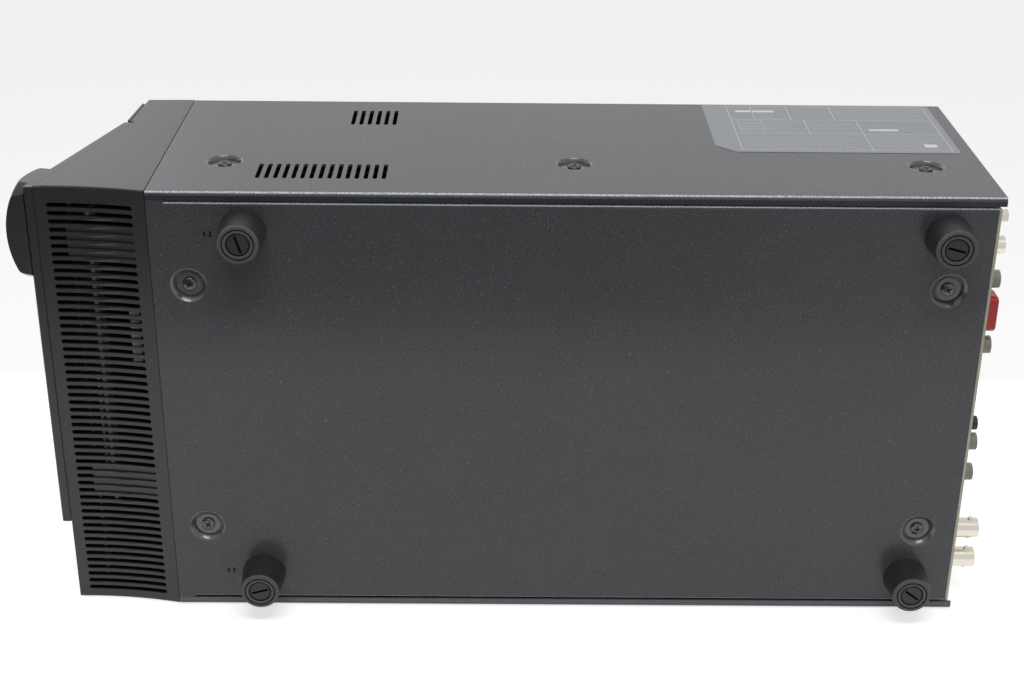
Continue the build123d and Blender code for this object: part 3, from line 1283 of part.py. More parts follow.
def make_earth_post() -> Part:
    """Hexagonal earth post through the rear panel, with its nut inside."""
    hexagon = Pos(EARTH_X, JACK_Z) * RegularPolygon(EARTH_R, 6, major_radius=False)
    tip = REAR_Y + EARTH_L
    head = prism_y(hexagon, (REAR_Y, tip))
    stud = cylinder_y(EARTH_R / 2, EARTH_X, JACK_Z, (REAR_Y - EARTH_STUD_L, REAR_Y))
    nut = prism_y(hexagon, (PANEL_INSIDE - EARTH_NUT_T, PANEL_INSIDE))
    bore = cylinder_y(EARTH_R / 2, EARTH_X, JACK_Z, (REAR_Y + EARTH_BORE_FLOOR, tip))
    return head + stud + nut - bore


def make_remote_jack() -> Part:
    """Small black control socket."""
    tip = REAR_Y + REMOTE_L
    barrel = cylinder_y(REMOTE_R, REMOTE_X, JACK_Z, (PANEL_INSIDE, tip))
    hole = cylinder_y(JACK_HOLE_R, REMOTE_X, JACK_Z, (REAR_Y - JACK_HOLE_FLOOR, tip))
    return barrel + socket_body(REMOTE_X, JACK_Z, REMOTE_BODY, REMOTE_DEPTH) - hole


def make_video_socket(x: float) -> Part:
    """Round multi-pin video socket with its riser on the main board."""
    z = VIDEO_SOCKET_Z
    well_r = VIDEO_SOCKET_R - VIDEO_SOCKET_WALL
    floor = REAR_Y - VIDEO_FACE_SINK
    ring = cylinder_y(VIDEO_SOCKET_R, x, z, (PANEL_INSIDE, REAR_Y + VIDEO_SOCKET_L))
    well = cylinder_y(well_r, x, z, (floor, REAR_Y + VIDEO_SOCKET_L))
    pin_x, pin_z = VIDEO_PIN_AT
    sunk_y = (floor - VIDEO_PIN_DEPTH, floor)
    pins = [cylinder_y(VIDEO_PIN_R, x + i * pin_x, z + j * pin_z, sunk_y)
            for i in (1, -1) for j in (1, -1)]
    key = block((x - VIDEO_KEY_W / 2, x + VIDEO_KEY_W / 2), sunk_y,
                (z + VIDEO_KEY_Z[0], z + VIDEO_KEY_Z[1]))
    body = socket_body(x, z, 2 * VIDEO_SOCKET_R, SOCKET_DEPTH)
    return ring - well + body - pins - key


def make_fan_frame() -> Part:
    """Square fan frame behind the rear panel with three struts and a hub."""
    y1 = PANEL_INSIDE
    y0 = y1 - FAN_DEPTH
    through = (y0 - OVERRUN, y1 + OVERRUN)
    here = Pos(FAN_X, FAN_Z)
    frame = prism_y(here * RectangleRounded(FAN_SIZE, FAN_SIZE, FAN_CORNER_R), (y0, y1))
    frame = frame - cylinder_y(FAN_BORE_R, FAN_X, FAN_Z, through)
    frame = frame - [cylinder_y(M3_R + THREAD_GAP, x, z, through) for x, z in fan_holes()]
    strut = Rectangle(FAN_STRUT_W, FAN_SIZE / 2, align=(Align.CENTER, Align.MIN))
    struts = Sketch() + [Rot(0, 0, 120 * i) * strut for i in range(3)] + Circle(FAN_HUB_R)
    frame = frame + prism_y(here * struts, (y0, y0 + FAN_STRUT_T))
    return frame + cylinder_y(SPINDLE_R, FAN_X, FAN_Z, (y0, y1 - FAN_PIN_SETBACK))


def make_fan_rotor() -> Part:
    """Fan rotor: cupped hub with pitched blades on the frame's pin."""
    y0 = PANEL_INSIDE - FAN_DEPTH + FAN_STRUT_T + KEY_SEAT_GAP
    y1 = PANEL_INSIDE - FAN_ROTOR_SETBACK
    rotor = cylinder_y(FAN_HUB_R, FAN_X, FAN_Z, (y0, y1))
    chord = (y1 - y0) * FAN_BLADE_FILL / math.cos(math.radians(FAN_PITCH))
    reach = FAN_TIP_R - FAN_HUB_R / 2
    blade = Box(FAN_BLADE_T, chord, reach)
    blade = Pos(0, 0, FAN_TIP_R - reach / 2) * Rot(0, 0, FAN_PITCH) * blade
    for i in range(FAN_BLADES):
        turn = Rot(0, 360 * i / FAN_BLADES, 0)
        rotor = rotor + Pos(FAN_X, (y0 + y1) / 2, FAN_Z) * turn * blade
    envelope = cylinder_y(FAN_TIP_R, FAN_X, FAN_Z, (y0, y1))
    bore_y = (y0 - OVERRUN, PANEL_INSIDE - FAN_PIN_SETBACK + KEY_SEAT_GAP)
    return (rotor & envelope) - cylinder_y(SPINDLE_R + RUN_GAP, FAN_X, FAN_Z, bore_y)


def make_ac_inlet() -> Part:
    """Moulded mains inlet with its six-sided cavity."""
    here = Pos(INLET_X, INLET_Z)
    face = REAR_Y + INLET_FLANGE_T
    back = REAR_Y - INLET_DEPTH
    flange = prism_y(here * RectangleRounded(*INLET_FLANGE, INLET_FLANGE_R), (REAR_Y, face))
    body = prism_y(here * Rectangle(*INLET_BODY), (back, face))
    w, h = INLET_CAVITY[0] / 2, INLET_CAVITY[1] / 2
    cavity = make_face(Polyline((-w, -h), (w, -h), (w, h - INLET_CORNER), (w - INLET_CORNER, h),
                                (INLET_CORNER - w, h), (-w, h - INLET_CORNER), close=True))
    clip_out, clip_h, clip_l = INLET_CLIP
    clip_end = PANEL_INSIDE - INLET_CLIP_GAP
    clips = prism_y(here * Rectangle(INLET_BODY[0] + 2 * clip_out, clip_h),
                    (clip_end - clip_l, clip_end))
    slits = [prism_y(Pos(x, z) * Rectangle(*INLET_PIN), (back - OVERRUN, REAR_Y))
             for x, z in inlet_pin_places()]
    return flange + body + clips - prism_y(here * cavity, (back + INLET_FLOOR, face)) - slits


def inlet_pin_places() -> list:
    """The three pins: two below the middle line and one above."""
    return [(INLET_X - INLET_PIN_X, INLET_Z - INLET_PIN_Z), (INLET_X, INLET_Z + INLET_PIN_Z),
            (INLET_X + INLET_PIN_X, INLET_Z - INLET_PIN_Z)]


def make_inlet_pins() -> Compound:
    """Three flat pins through the inlet's floor."""
    pin_y = (REAR_Y - INLET_DEPTH - INLET_PIN_TAIL, REAR_Y - INLET_PIN_TIP)
    return Compound(children=[prism_y(Pos(x, z) * Rectangle(*INLET_PIN), pin_y)
                              for x, z in inlet_pin_places()])


def fan_screw_places() -> list:
    """On the rear panel's outside at the fan's corners."""
    return [Plane(origin=(x, REAR_Y, z), x_dir=(1, 0, 0), z_dir=(0, 1, 0)).location
            for x, z in fan_holes()]


M4 = machine_screw(M4_R, M4_HEAD_R, M4_HEAD_H, M4_LENGTH)
M3 = machine_screw(M3_R, M3_HEAD_R, M3_HEAD_H, M3_LENGTH)

NODES = {
    "top_cover": make_top_cover(),
    "bottom_pan": make_bottom_pan(),
    "rear_panel": make_rear_panel(),
    "front_moulding": make_front_moulding(),
    "control_panel": make_control_panel(),
    "tray_band": make_tray_band(),
    "dial_boss": make_dial_boss(),
    "jog_dial": make_jog_dial(),
    "dial_encoder": make_dial_encoder(),
    "display_window": make_display_window(),
    "display_module": make_display_module(),
    "control_board": make_control_board(),
    "key_switches": make_key_switches(),
    "front_frame": make_front_frame(),
    "drive_bracket": make_drive_bracket(),
    "drive_tub": make_drive_tub(),
    "drive_lid": make_drive_lid(),
    "tray_rails": Compound(children=[make_tray_rail(side) for side in (-1, 1)]),
    "disc_tray": make_disc_tray(),
    "tray_front": make_tray_front(),
    "mech_deck": make_mech_deck(),
    "guide_rods": Compound(children=rods(0)),
    "pickup_sled": make_pickup_sled(),
    "pickup_lens": make_pickup_lens(),
    "spindle_motor": make_spindle_motor(),
    "turntable": make_turntable(),
    "clamp_bridge": make_clamp_bridge(),
    "disc_clamp": make_disc_clamp(),
    "main_board": flat_board(MAIN_BOARD, MAIN_SCREW_INSET),
    "power_board": flat_board(POWER_BOARD, POWER_SCREW_INSET),
    "heatsinks": make_heatsinks(),
    "power_transformer": make_power_transformer(),
    "power_capacitors": make_power_capacitors(),
    "board_standoffs": make_standoffs(),
    "bnc_sockets": Compound(children=[make_bnc_socket(x) for x in BNC_X]),
    "phono_jacks": Compound(children=[make_phono_jack(x) for x in JACK_X]),
    "digital_jack": make_phono_jack(DIGITAL_JACK_X),
    "red_socket_block": make_red_block(),
    "earth_post": make_earth_post(),
    "remote_jack": make_remote_jack(),
    "video_sockets": Compound(children=[make_video_socket(x) for x in VIDEO_SOCKET_X]),
    "fan_frame": make_fan_frame(),
    "fan_rotor": make_fan_rotor(),
    "ac_inlet": make_ac_inlet(),
    "inlet_pins": make_inlet_pins(),
    "rating_film": make_rating_film(),
    "rubber_feet": Compound(children=[Location((x, y, 0)) * make_foot() for x, y in foot_places()]),
    "foot_pins": Compound(children=[Location((x, y, 0)) * make_foot_pin(angle)
                                    for (x, y), angle in zip(foot_places(), FOOT_SLOTS)]),
    "case_screws": screws([sunk(seat, COVER_DISH_DEPTH) for seat in SIDE_SEATS]
                          + [sunk(seat, PAN_DISH_DEPTH) for seat in PAN_SEATS], M4),
    "small_screws": screws(board_screw_places() + flat_board_screw_places() + fan_screw_places(), M3),
}
for name, key in {**TRANSPORT, **MENU, "power": POWER_KEY_SPEC}.items():
    NODES["key_" + name] = SLOPE * make_key(key)
NODES["key_open"] = UPRIGHT * make_key(OPEN_KEY)

# Front reach of the dome and rear reach of the video sockets set the middle along Y.
dome_centre = (SLOPE.location * Pos(BOSS_X, BOSS_S, PANEL_T - DOME_DEPTH)).position
FRONT_REACH = dome_centre.Y - DOME_R
REAR_REACH = REAR_Y + BNC_L
TO_PART = Location((0, -(FRONT_REACH + REAR_REACH) / 2, FOOT_H))

for name, shape in NODES.items():
    export_step(TO_PART * shape, f"parts/{name}.step")
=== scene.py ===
"""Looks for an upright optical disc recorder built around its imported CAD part.

The row frame has +Z up on the feet, -Y out of the front and +X to the recorder's right.
The main camera sees the recorder lying on its left side, from under its feet.
Sizes in this file are in millimetres in the case frame (Y from the seam behind the front
moulding, Z from the pan's underside) unless a name says otherwise.
"""

import json
import logging
import math
from dataclasses import dataclass, field
from enum import Enum

import bmesh
import bpy
from mathutils import Matrix, Vector


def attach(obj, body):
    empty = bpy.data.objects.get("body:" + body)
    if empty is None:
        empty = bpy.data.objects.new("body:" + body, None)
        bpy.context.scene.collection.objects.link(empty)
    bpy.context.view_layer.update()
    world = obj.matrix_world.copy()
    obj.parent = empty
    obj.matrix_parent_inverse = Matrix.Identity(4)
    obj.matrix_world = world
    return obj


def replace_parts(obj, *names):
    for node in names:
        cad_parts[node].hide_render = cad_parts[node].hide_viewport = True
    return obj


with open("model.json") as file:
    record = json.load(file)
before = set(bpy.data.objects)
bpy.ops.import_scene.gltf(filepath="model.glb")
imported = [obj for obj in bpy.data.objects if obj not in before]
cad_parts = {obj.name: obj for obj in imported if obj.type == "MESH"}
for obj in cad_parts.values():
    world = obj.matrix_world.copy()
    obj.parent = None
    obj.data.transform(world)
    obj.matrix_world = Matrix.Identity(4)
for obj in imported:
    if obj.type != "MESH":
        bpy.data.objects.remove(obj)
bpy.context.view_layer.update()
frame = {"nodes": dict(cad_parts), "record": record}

LOG = logging.getLogger("disc_recorder")
MM = 0.001
CASE_ORIGIN_Y = -161.6256
CASE_ORIGIN_Z = 16.4
NOISE_SPAN = (0.3, 0.7)
# Size and threshold of the painted glints, bright flecks in the colour.
GLINT_MM = 0.8
GLINT_SPAN = (0.76, 0.82)
BRUSHED_STRETCH = (1.0, 0.04, 1.0)
PATCH_DETAIL, GRAIN_DETAIL, GLINT_DETAIL = 3.0, 2.0, 0.0
DISC_SIDES = 40
RIGHT, BACK, DOWN = Vector((1, 0, 0)), Vector((0, 1, 0)), Vector((0, 0, -1))
Triple = tuple[float, float, float]
Pair = tuple[float, float]
Tree = bpy.types.NodeTree
Socket = bpy.types.NodeSocket
Mesh = bmesh.types.BMesh
Piece = bpy.types.Object


def place(x: float, y: float, z: float) -> Vector:
    """Turn millimetres of the case frame into a point of the row frame, in metres."""
    return Vector((x, y + CASE_ORIGIN_Y, z + CASE_ORIGIN_Z)) * MM


def linear(colour: Triple) -> tuple[float, float, float, float]:
    """Turn an sRGB colour, from 0 to 1, into the linear values that the nodes take."""
    parts = [c / 12.92 if c <= 0.04045 else ((c + 0.055) / 1.055) ** 2.4 for c in colour]
    return (parts[0], parts[1], parts[2], 1.0)


# Shader nodes


def combine(tree: Tree, operation: str, first: Socket, second: Socket) -> Socket:
    """Put two values together.

    Args:
        tree: The node tree to add to.
        operation: What the maths node does.
        first: One value.
        second: The other value.

    Returns:
        The result's output.
    """
    node = tree.nodes.new("ShaderNodeMath")
    node.operation = operation
    tree.links.new(first, node.inputs[0])
    tree.links.new(second, node.inputs[1])
    return node.outputs["Value"]


def map_range(tree: Tree, value: Socket, span: Pair,
              levels: Pair, easing: str = "LINEAR") -> Socket:
    """Map one range of a value on another and clamp it.

    Args:
        tree: The node tree to add to.
        value: The value to map.
        span: Start and end of the range read.
        levels: What the start and the end become.
        easing: How the result changes on the way.

    Returns:
        The mapped value's output.
    """
    node = tree.nodes.new("ShaderNodeMapRange")
    node.interpolation_type = easing
    for name, number in zip(("From Min", "From Max", "To Min", "To Max"), span + levels):
        node.inputs[name].default_value = number
    tree.links.new(value, node.inputs["Value"])
    return node.outputs["Result"]


def noise(tree: Tree, size_mm: float, detail: float, stretch: Triple = (1.0, 1.0, 1.0)) -> Socket:
    """Add a noise pattern in the object's own coordinates.

    Args:
        tree: The node tree to add to.
        size_mm: About how wide one blob is.
        detail: How many finer layers the noise has.
        stretch: How much each axis is multiplied.

    Returns:
        The noise value's output.
    """
    coords = tree.nodes.new("ShaderNodeTexCoord")
    mapping = tree.nodes.new("ShaderNodeMapping")
    mapping.inputs["Scale"].default_value = stretch
    tree.links.new(coords.outputs["Object"], mapping.inputs["Vector"])
    pattern = tree.nodes.new("ShaderNodeTexNoise")
    pattern.inputs["Scale"].default_value = 1.0 / (size_mm * MM)
    pattern.inputs["Detail"].default_value = detail
    tree.links.new(mapping.outputs["Vector"], pattern.inputs["Vector"])
    return pattern.outputs["Fac"]


# Finishes


class Grain(Enum):
    """How a surface is rough at the scale of its grain."""

    SMOOTH = "smooth"
    STIPPLE = "stipple"
    BRUSHED = "brushed"


@dataclass(frozen=True)
class Finish:
    """One procedural surface, written with a screen colour and real sizes."""

    name: str
    colour: Triple
    roughness: float = 0.5
    metallic: float = 0.0
    specular: float = 0.5
    transmission: float = 0.0
    coat: float = 0.0
    coat_roughness: float = 0.15
    grain: Grain = Grain.SMOOTH
    grain_mm: float = 0.6
    grain_depth_mm: float = 0.02
    speckle: float = 0.0
    speckle_mm: float = 0.7
    # Strength of painted glints: sparse bright flecks added to the colour.
    glint: float = 0.0
    mottle: float = 0.0
    mottle_mm: float = 40.0

    def material(self) -> bpy.types.Material:
        """Make the node material, or find it if it was made before.

        Returns:
            The material with its nodes in place.
        """
        title = f"{self.name}_finish"
        found = bpy.data.materials.get(title)
        if found:
            return found
        material = bpy.data.materials.new(title)
        material.use_nodes = True
        tree = material.node_tree
        shader = tree.nodes["Principled BSDF"]
        values = {"Base Color": linear(self.colour), "Roughness": self.roughness,
                  "Metallic": self.metallic, "Specular IOR Level": self.specular,
                  "Transmission Weight": self.transmission, "Coat Weight": self.coat,
                  "Coat Roughness": self.coat_roughness}
        for name, value in values.items():
            shader.inputs[name].default_value = value
        if self.mottle or self.speckle:
            self._vary_colour(tree, shader)
        if self.grain is not Grain.SMOOTH:
            self._add_grain(tree, shader)
        return material

    def _vary_colour(self, tree: Tree, shader: bpy.types.Node) -> None:
        """Let the colour drift over patches, carry a fine grain and take painted glints, sparse
        bright flecks.

        Args:
            tree: The node tree to add to.
            shader: The shader whose colour varies.
        """
        level = map_range(tree, noise(tree, self.mottle_mm, PATCH_DETAIL), NOISE_SPAN,
                          (1.0 - self.mottle, 1.0 + self.mottle))
        layers = ((self.speckle_mm, GRAIN_DETAIL, NOISE_SPAN, (-self.speckle, self.speckle)),
                  (GLINT_MM, GLINT_DETAIL, GLINT_SPAN, (0.0, self.glint)))
        for size, detail, span, levels in layers:
            if levels[1]:
                lift = map_range(tree, noise(tree, size, detail), span, levels)
                level = combine(tree, "ADD", level, lift)
        colour = tree.nodes.new("ShaderNodeVectorMath")
        colour.operation = "SCALE"
        colour.inputs[0].default_value = linear(self.colour)[:3]
        tree.links.new(level, colour.inputs["Scale"])
        tree.links.new(colour.outputs["Vector"], shader.inputs["Base Color"])

    def _add_grain(self, tree: Tree, shader: bpy.types.Node) -> None:
        """Roughen the surface with a bump of a real depth.

        Args:
            tree: The node tree to add to.
            shader: The shader whose normal takes the bump.
        """
        stretch = BRUSHED_STRETCH if self.grain is Grain.BRUSHED else (1.0, 1.0, 1.0)
        bump = tree.nodes.new("ShaderNodeBump")
        bump.inputs["Distance"].default_value = self.grain_depth_mm * MM
        height = noise(tree, self.grain_mm, GRAIN_DETAIL, stretch)
        tree.links.new(height, bump.inputs["Height"])
        tree.links.new(bump.outputs["Normal"], shader.inputs["Normal"])


def stippled(name: str, colour: Triple, roughness: float, grain_mm: float,
             grain_depth_mm: float, **others: float) -> Finish:
    """Make a finish with a stippled grain of a real width and depth."""
    return Finish(name, colour, roughness, grain=Grain.STIPPLE, grain_mm=grain_mm,
                  grain_depth_mm=grain_depth_mm, **others)


# The case paint carries painted glints as well as its grain.
CASE_PAINT = stippled("case_paint", (0.303, 0.308, 0.322), 0.48, 0.9, 0.05, specular=0.15,
                      coat=0.6, coat_roughness=0.2, glint=1.2, speckle=0.5, speckle_mm=0.5,
                      mottle=0.05)
# Darker copy of the case paint: painted shade for the right fold's underside.
PAINTED_FOLD_SHADE = stippled("painted_fold_shade", (0.22, 0.223, 0.235), 0.48, 0.9, 0.05, specular=0.15, coat=0.4,
                      coat_roughness=0.2, speckle=0.36, speckle_mm=0.5)
# Paler copy of the case paint: painted light, as bounced off the table, for the left fold's
# underside.
PAINTED_FOLD_LIGHT = stippled("painted_fold_light", (0.43, 0.435, 0.455), 0.48, 0.9, 0.05, specular=0.2,
                       coat=0.5, coat_roughness=0.2, speckle=0.36, speckle_mm=0.5)
FRONT_PLASTIC = stippled("front_plastic", (0.163, 0.165, 0.171), 0.32, 0.6, 0.02, specular=0.36,
                         coat=0.3, coat_roughness=0.28, speckle=0.4, speckle_mm=0.5, mottle=0.03)
IVORY_PAINT = Finish("ivory_paint", (0.83, 0.81, 0.73), 0.42, mottle=0.02)
SCREW_BLACK = stippled("screw_black", (0.34, 0.34, 0.36), 0.18, 0.3, 0.008, metallic=1.0)
# Pale strip colour: a painted highlight along the lower bends.
PAINTED_BEND_HIGHLIGHT = stippled("painted_bend_highlight", (0.78, 0.80, 0.84), 0.45, 0.8, 0.03, specular=0.3, speckle=0.5,
                      speckle_mm=0.8)
# Darker than the case paint: painted shade in the pressed seats; its clear coat is real gloss.
SEAT_SHADE = stippled("seat_shade", (0.26, 0.264, 0.276), 0.32, 0.7, 0.012, specular=0.6, coat=1.0,
                      coat_roughness=0.2, speckle=0.2)
SLOT_SHADE = Finish("slot_shade", (0.02, 0.02, 0.022), 0.9, specular=0.05)
# Near black: painted shade for the screws' cross recesses, which are not cut.
PAINTED_RECESS_SHADE = stippled("painted_recess_shade", (0.05, 0.05, 0.055), 0.5, 0.3, 0.006, metallic=0.3)
DIAL_PLASTIC = stippled("dial_plastic", (0.45, 0.45, 0.46), 0.34, 0.25, 0.006)
KEY_PLASTIC = stippled("key_plastic", (0.56, 0.56, 0.58), 0.4, 0.3, 0.006)
RECORD_KEY = stippled("record_key_plastic", (0.62, 0.13, 0.11), 0.4, 0.3, 0.006)
WINDOW_GLASS = Finish("window", (0.06, 0.065, 0.07), 0.1)
DISPLAY_GLASS = Finish("display", (0.07, 0.10, 0.10), 0.12)
BOARD_MASK = Finish("board", (0.16, 0.36, 0.25), 0.35, mottle=0.15, mottle_mm=6.0)
BLACK_PLASTIC = stippled("black_plastic", (0.13, 0.13, 0.135), 0.45, 0.4, 0.01)
TRAY_PLASTIC = stippled("tray_plastic", (0.20, 0.20, 0.21), 0.5, 0.4, 0.012)
# Paler rubber for the faces of the feet that look down; the sides keep the darker rubber.
PALE_FACE_RUBBER = stippled("pale_face_rubber", (0.39, 0.39, 0.38), 0.7, 0.5, 0.06, specular=0.35,
                       speckle=0.3, speckle_mm=0.5)
RUBBER = stippled("rubber", (0.16, 0.16, 0.17), 0.45, 0.5, 0.03, specular=0.5, mottle=0.08)
ZINC_STEEL = Finish("zinc_steel", (0.72, 0.73, 0.72), 0.32, metallic=1.0, mottle=0.06,
                    mottle_mm=12.0)
ALUMINIUM = Finish("aluminium", (0.80, 0.80, 0.81), 0.3, metallic=1.0, grain=Grain.BRUSHED,
                   grain_mm=0.3, grain_depth_mm=0.01)
NICKEL = Finish("nickel", (0.85, 0.83, 0.78), 0.22, metallic=1.0)
GREY_PLASTIC = Finish("grey_plastic", (0.62, 0.62, 0.60), 0.4)
RED_PLASTIC = Finish("red_plastic", (0.80, 0.09, 0.09), 0.28, coat=0.2)
COMPONENT = Finish("component", (0.30, 0.28, 0.24), 0.45, mottle=0.1, mottle_mm=8.0)
LENS = Finish("lens", (0.45, 0.62, 0.80), 0.03, transmission=0.9)
FILM = stippled("film", (0.54, 0.555, 0.58), 0.32, 0.4, 0.004, metallic=0.25)
PRINT_LIGHT = Finish("print_light", (0.86, 0.86, 0.85), 0.5)
FILM_PRINT = Finish("film_print", (0.78, 0.785, 0.79), 0.5)
FILM_DASH = Finish("film_dash", (0.66, 0.67, 0.685), 0.5)
SEGMENT = Finish("segment_unlit", (0.15, 0.185, 0.18), 0.12)
BOARD_EDGE = Finish("board_edge", (0.68, 0.68, 0.60), 0.6, mottle=0.1, mottle_mm=4.0)
PALE_NYLON = Finish("pale_nylon", (0.92, 0.92, 0.89), 0.45, mottle=0.05, mottle_mm=3.0)
SOLDER = Finish("solder", (0.82, 0.82, 0.83), 0.3, metallic=0.9)

FINISH_BY_SLOT: dict[str, Finish] = {
    finish.name: finish
    for finish in (CASE_PAINT, SCREW_BLACK, IVORY_PAINT, FRONT_PLASTIC, DIAL_PLASTIC, KEY_PLASTIC,
                   RECORD_KEY, WINDOW_GLASS, DISPLAY_GLASS, BOARD_MASK, BLACK_PLASTIC,
                   TRAY_PLASTIC, RUBBER, ZINC_STEEL, ALUMINIUM, NICKEL, GREY_PLASTIC,
                   RED_PLASTIC, COMPONENT, LENS, FILM)
}


def dress(piece: Piece, finish: Finish) -> None:
    """Give a piece its finish in place of whatever it had."""
    piece.data.materials.clear()
    piece.data.materials.append(finish.material())


# Flat shapes and how they become pieces


@dataclass(frozen=True)
class Face:
    """A flat place on the recorder: an origin and two directions along it."""

    origin: Vector
    across: Vector
    up: Vector

    def point(self, a: float, b: float, out: float = 0.0) -> Vector:
        """Find the point, in metres, at some millimetres across, up and off the face."""
        normal = self.across.cross(self.up)
        return self.origin + (self.across * a + self.up * b + normal * out) * MM


@dataclass
class FlatPiece:
    """A thin printed or moulded piece made of polygons that lie on one face."""

    name: str
    face: Face
    finish: Finish
    body: str = "recorder"
    thickness: float = 0.05
    sink: float = 0.02
    outlines: list[list[Pair]] = field(default_factory=list)

    def rectangle(self, left: float, bottom: float, width: float, height: float) -> None:
        """Add a rectangle by its left and lower edges and its size."""
        self.outlines.append([(left, bottom), (left + width, bottom),
                              (left + width, bottom + height), (left, bottom + height)])

    def ruled_box(self, left: float, bottom: float, width: float, height: float,
                  line: float) -> None:
        """Add the four lines of an empty box.

        Args:
            left: Its left edge.
            bottom: Its lower edge.
            width: How wide it is.
            height: How high it is.
            line: How thick the lines are.
        """
        self.rectangle(left, bottom, width, line)
        self.rectangle(left, bottom + height - line, width, line)
        self.rectangle(left, bottom + line, line, height - 2 * line)
        self.rectangle(left + width - line, bottom + line, line, height - 2 * line)

    def disc(self, a: float, b: float, radius: float) -> None:
        """Add a filled circle by its middle and its radius."""
        turns = [2 * math.pi * i / DISC_SIDES for i in range(DISC_SIDES)]
        self.outlines.append([(a + radius * math.cos(t), b + radius * math.sin(t)) for t in turns])

    def arc(self, a: float, b: float, radius: float, line: float, start: float,
            end: float, parts: int = 28) -> None:
        """Add a part of a ring.

        Args:
            a: Its middle across.
            b: Its middle up.
            radius: Radius of the line's middle.
            line: How thick the line is.
            start: Where it starts, in degrees from across.
            end: Where it ends, in degrees.
            parts: How many straight parts it has.
        """
        near, far = radius - line / 2, radius + line / 2
        turns = [math.radians(start + (end - start) * i / parts) for i in range(parts + 1)]
        for t0, t1 in zip(turns, turns[1:]):
            self.outlines.append([(a + r * math.cos(t), b + r * math.sin(t))
                                  for r, t in ((near, t0), (far, t0), (far, t1), (near, t1))])

    def triangle(self, a: float, b: float, width: float, height: float, turn: float) -> None:
        """Add a triangle that points along a direction.

        Args:
            a: Its middle across.
            b: Its middle up.
            width: How long it is along its direction.
            height: How wide its base is.
            turn: The direction it points, in degrees from across.
        """
        c, s = math.cos(math.radians(turn)), math.sin(math.radians(turn))
        corners = [(-width / 2, -height / 2), (width / 2, 0), (-width / 2, height / 2)]
        self.outlines.append([(a + x * c - y * s, b + x * s + y * c) for x, y in corners])

    def build(self) -> Piece:
        """Make the piece, dress it and let it ride on its body.

        Returns:
            The new object.
        """
        mesh = bmesh.new()
        for outline in self.outlines:
            low = [mesh.verts.new(self.face.point(a, b, -self.sink)) for a, b in outline]
            high = [mesh.verts.new(self.face.point(a, b, self.thickness - self.sink))
                    for a, b in outline]
            mesh.faces.new(list(reversed(low)))
            mesh.faces.new(high)
            for i in range(len(outline)):
                j = (i + 1) % len(outline)
                mesh.faces.new([low[i], low[j], high[j], high[i]])
        return finish_piece(mesh, self.name, self.finish, self.body)


class Shading(Enum):
    """How the faces of a new piece are shaded."""

    FLAT = "flat"
    SMOOTH = "smooth"
    KEPT = "kept as its mesh has them"


def add_object(mesh: Mesh, name: str) -> Piece:
    """Make an object of a built mesh.

    Args:
        mesh: The built mesh, which is freed.
        name: The object's name.

    Returns:
        The new object, in the scene.
    """
    data = bpy.data.meshes.new(name)
    mesh.to_mesh(data)
    mesh.free()
    piece = bpy.data.objects.new(name, data)
    bpy.context.scene.collection.objects.link(piece)
    return piece


def finish_piece(mesh: Mesh, name: str, finish: Finish, body: str = "recorder",
                 shading: Shading = Shading.FLAT, sharp: float = 0.0) -> Piece:
    """Turn a built mesh into a dressed piece that rides on a body, and report it.

    Args:
        mesh: The built mesh, which is freed.
        name: The piece's name.
        finish: Its finish.
        body: The CAD body it moves with.
        shading: How its faces are shaded.
        sharp: Degrees from which an edge stays sharp all the same, or 0 for none.

    Returns:
        The new object.
    """
    if shading is not Shading.KEPT:
        bmesh.ops.recalc_face_normals(mesh, faces=mesh.faces)
        for surface in mesh.faces:
            surface.smooth = shading is Shading.SMOOTH
    piece = add_object(mesh, name)
    dress(piece, finish)
    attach(piece, body)
    if sharp:
        piece.data.set_sharp_from_angle(angle=math.radians(sharp))
    LOG.info("%s: %s, rides on %s", name, finish.name, body)
    return piece


def add_block(mesh: Mesh, face: Face, low: Triple,
              high: Triple, bevel: float = 0.0) -> None:
    """Add a block that stands on a face.

    Args:
        mesh: The mesh to add to.
        face: The face it stands on.
        low: Lowest across, up and out, in millimetres.
        high: Highest across, up and out, in millimetres.
        bevel: How far its edges are cut, in millimetres.
    """
    corners = [mesh.verts.new(face.point(a, b, c)) for c in (low[2], high[2])
               for a, b in ((low[0], low[1]), (high[0], low[1]), (high[0], high[1]),
                            (low[0], high[1]))]
    quads = ((3, 2, 1, 0), (4, 5, 6, 7), (0, 1, 5, 4), (1, 2, 6, 5), (2, 3, 7, 6), (3, 0, 4, 7))
    faces = [mesh.faces.new([corners[i] for i in quad]) for quad in quads]
    if bevel:
        edges = list({edge for f in faces for edge in f.edges})
        bmesh.ops.bevel(mesh, geom=edges, offset=bevel * MM, segments=2, affect="EDGES")


def add_turned(mesh: Mesh, origin: Vector, way: Vector,
               profile: list[Pair], sides: int = 48) -> None:
    """Add a body turned around an axis.

    Args:
        mesh: The mesh to add to.
        origin: A point of the axis, in metres in the row frame.
        way: The axis' direction, of length 1.
        profile: Radius and height along the axis of each corner, in millimetres.
        sides: How many sides each ring has.
    """
    side = way.orthogonal().normalized()
    other = way.cross(side)
    turns = [2 * math.pi * i / sides for i in range(sides)]
    rings = []
    for radius, height in profile:
        middle = origin + way * height * MM
        if radius == 0:
            rings.append([mesh.verts.new(middle)] * sides)
            continue
        rings.append([mesh.verts.new(middle + (side * math.cos(t) + other * math.sin(t))
                                     * radius * MM) for t in turns])
    for low, high in zip(rings, rings[1:]):
        for i in range(sides):
            j = (i + 1) % sides
            corners = list(dict.fromkeys((low[i], low[j], high[j], high[i])))
            mesh.faces.new(corners)


def spread(row: tuple[int, float, float]) -> list[float]:
    """Give the places of a row, from how many it has, its first place and its pitch."""
    return [row[1] + i * row[2] for i in range(row[0])]


# The recorder's parts


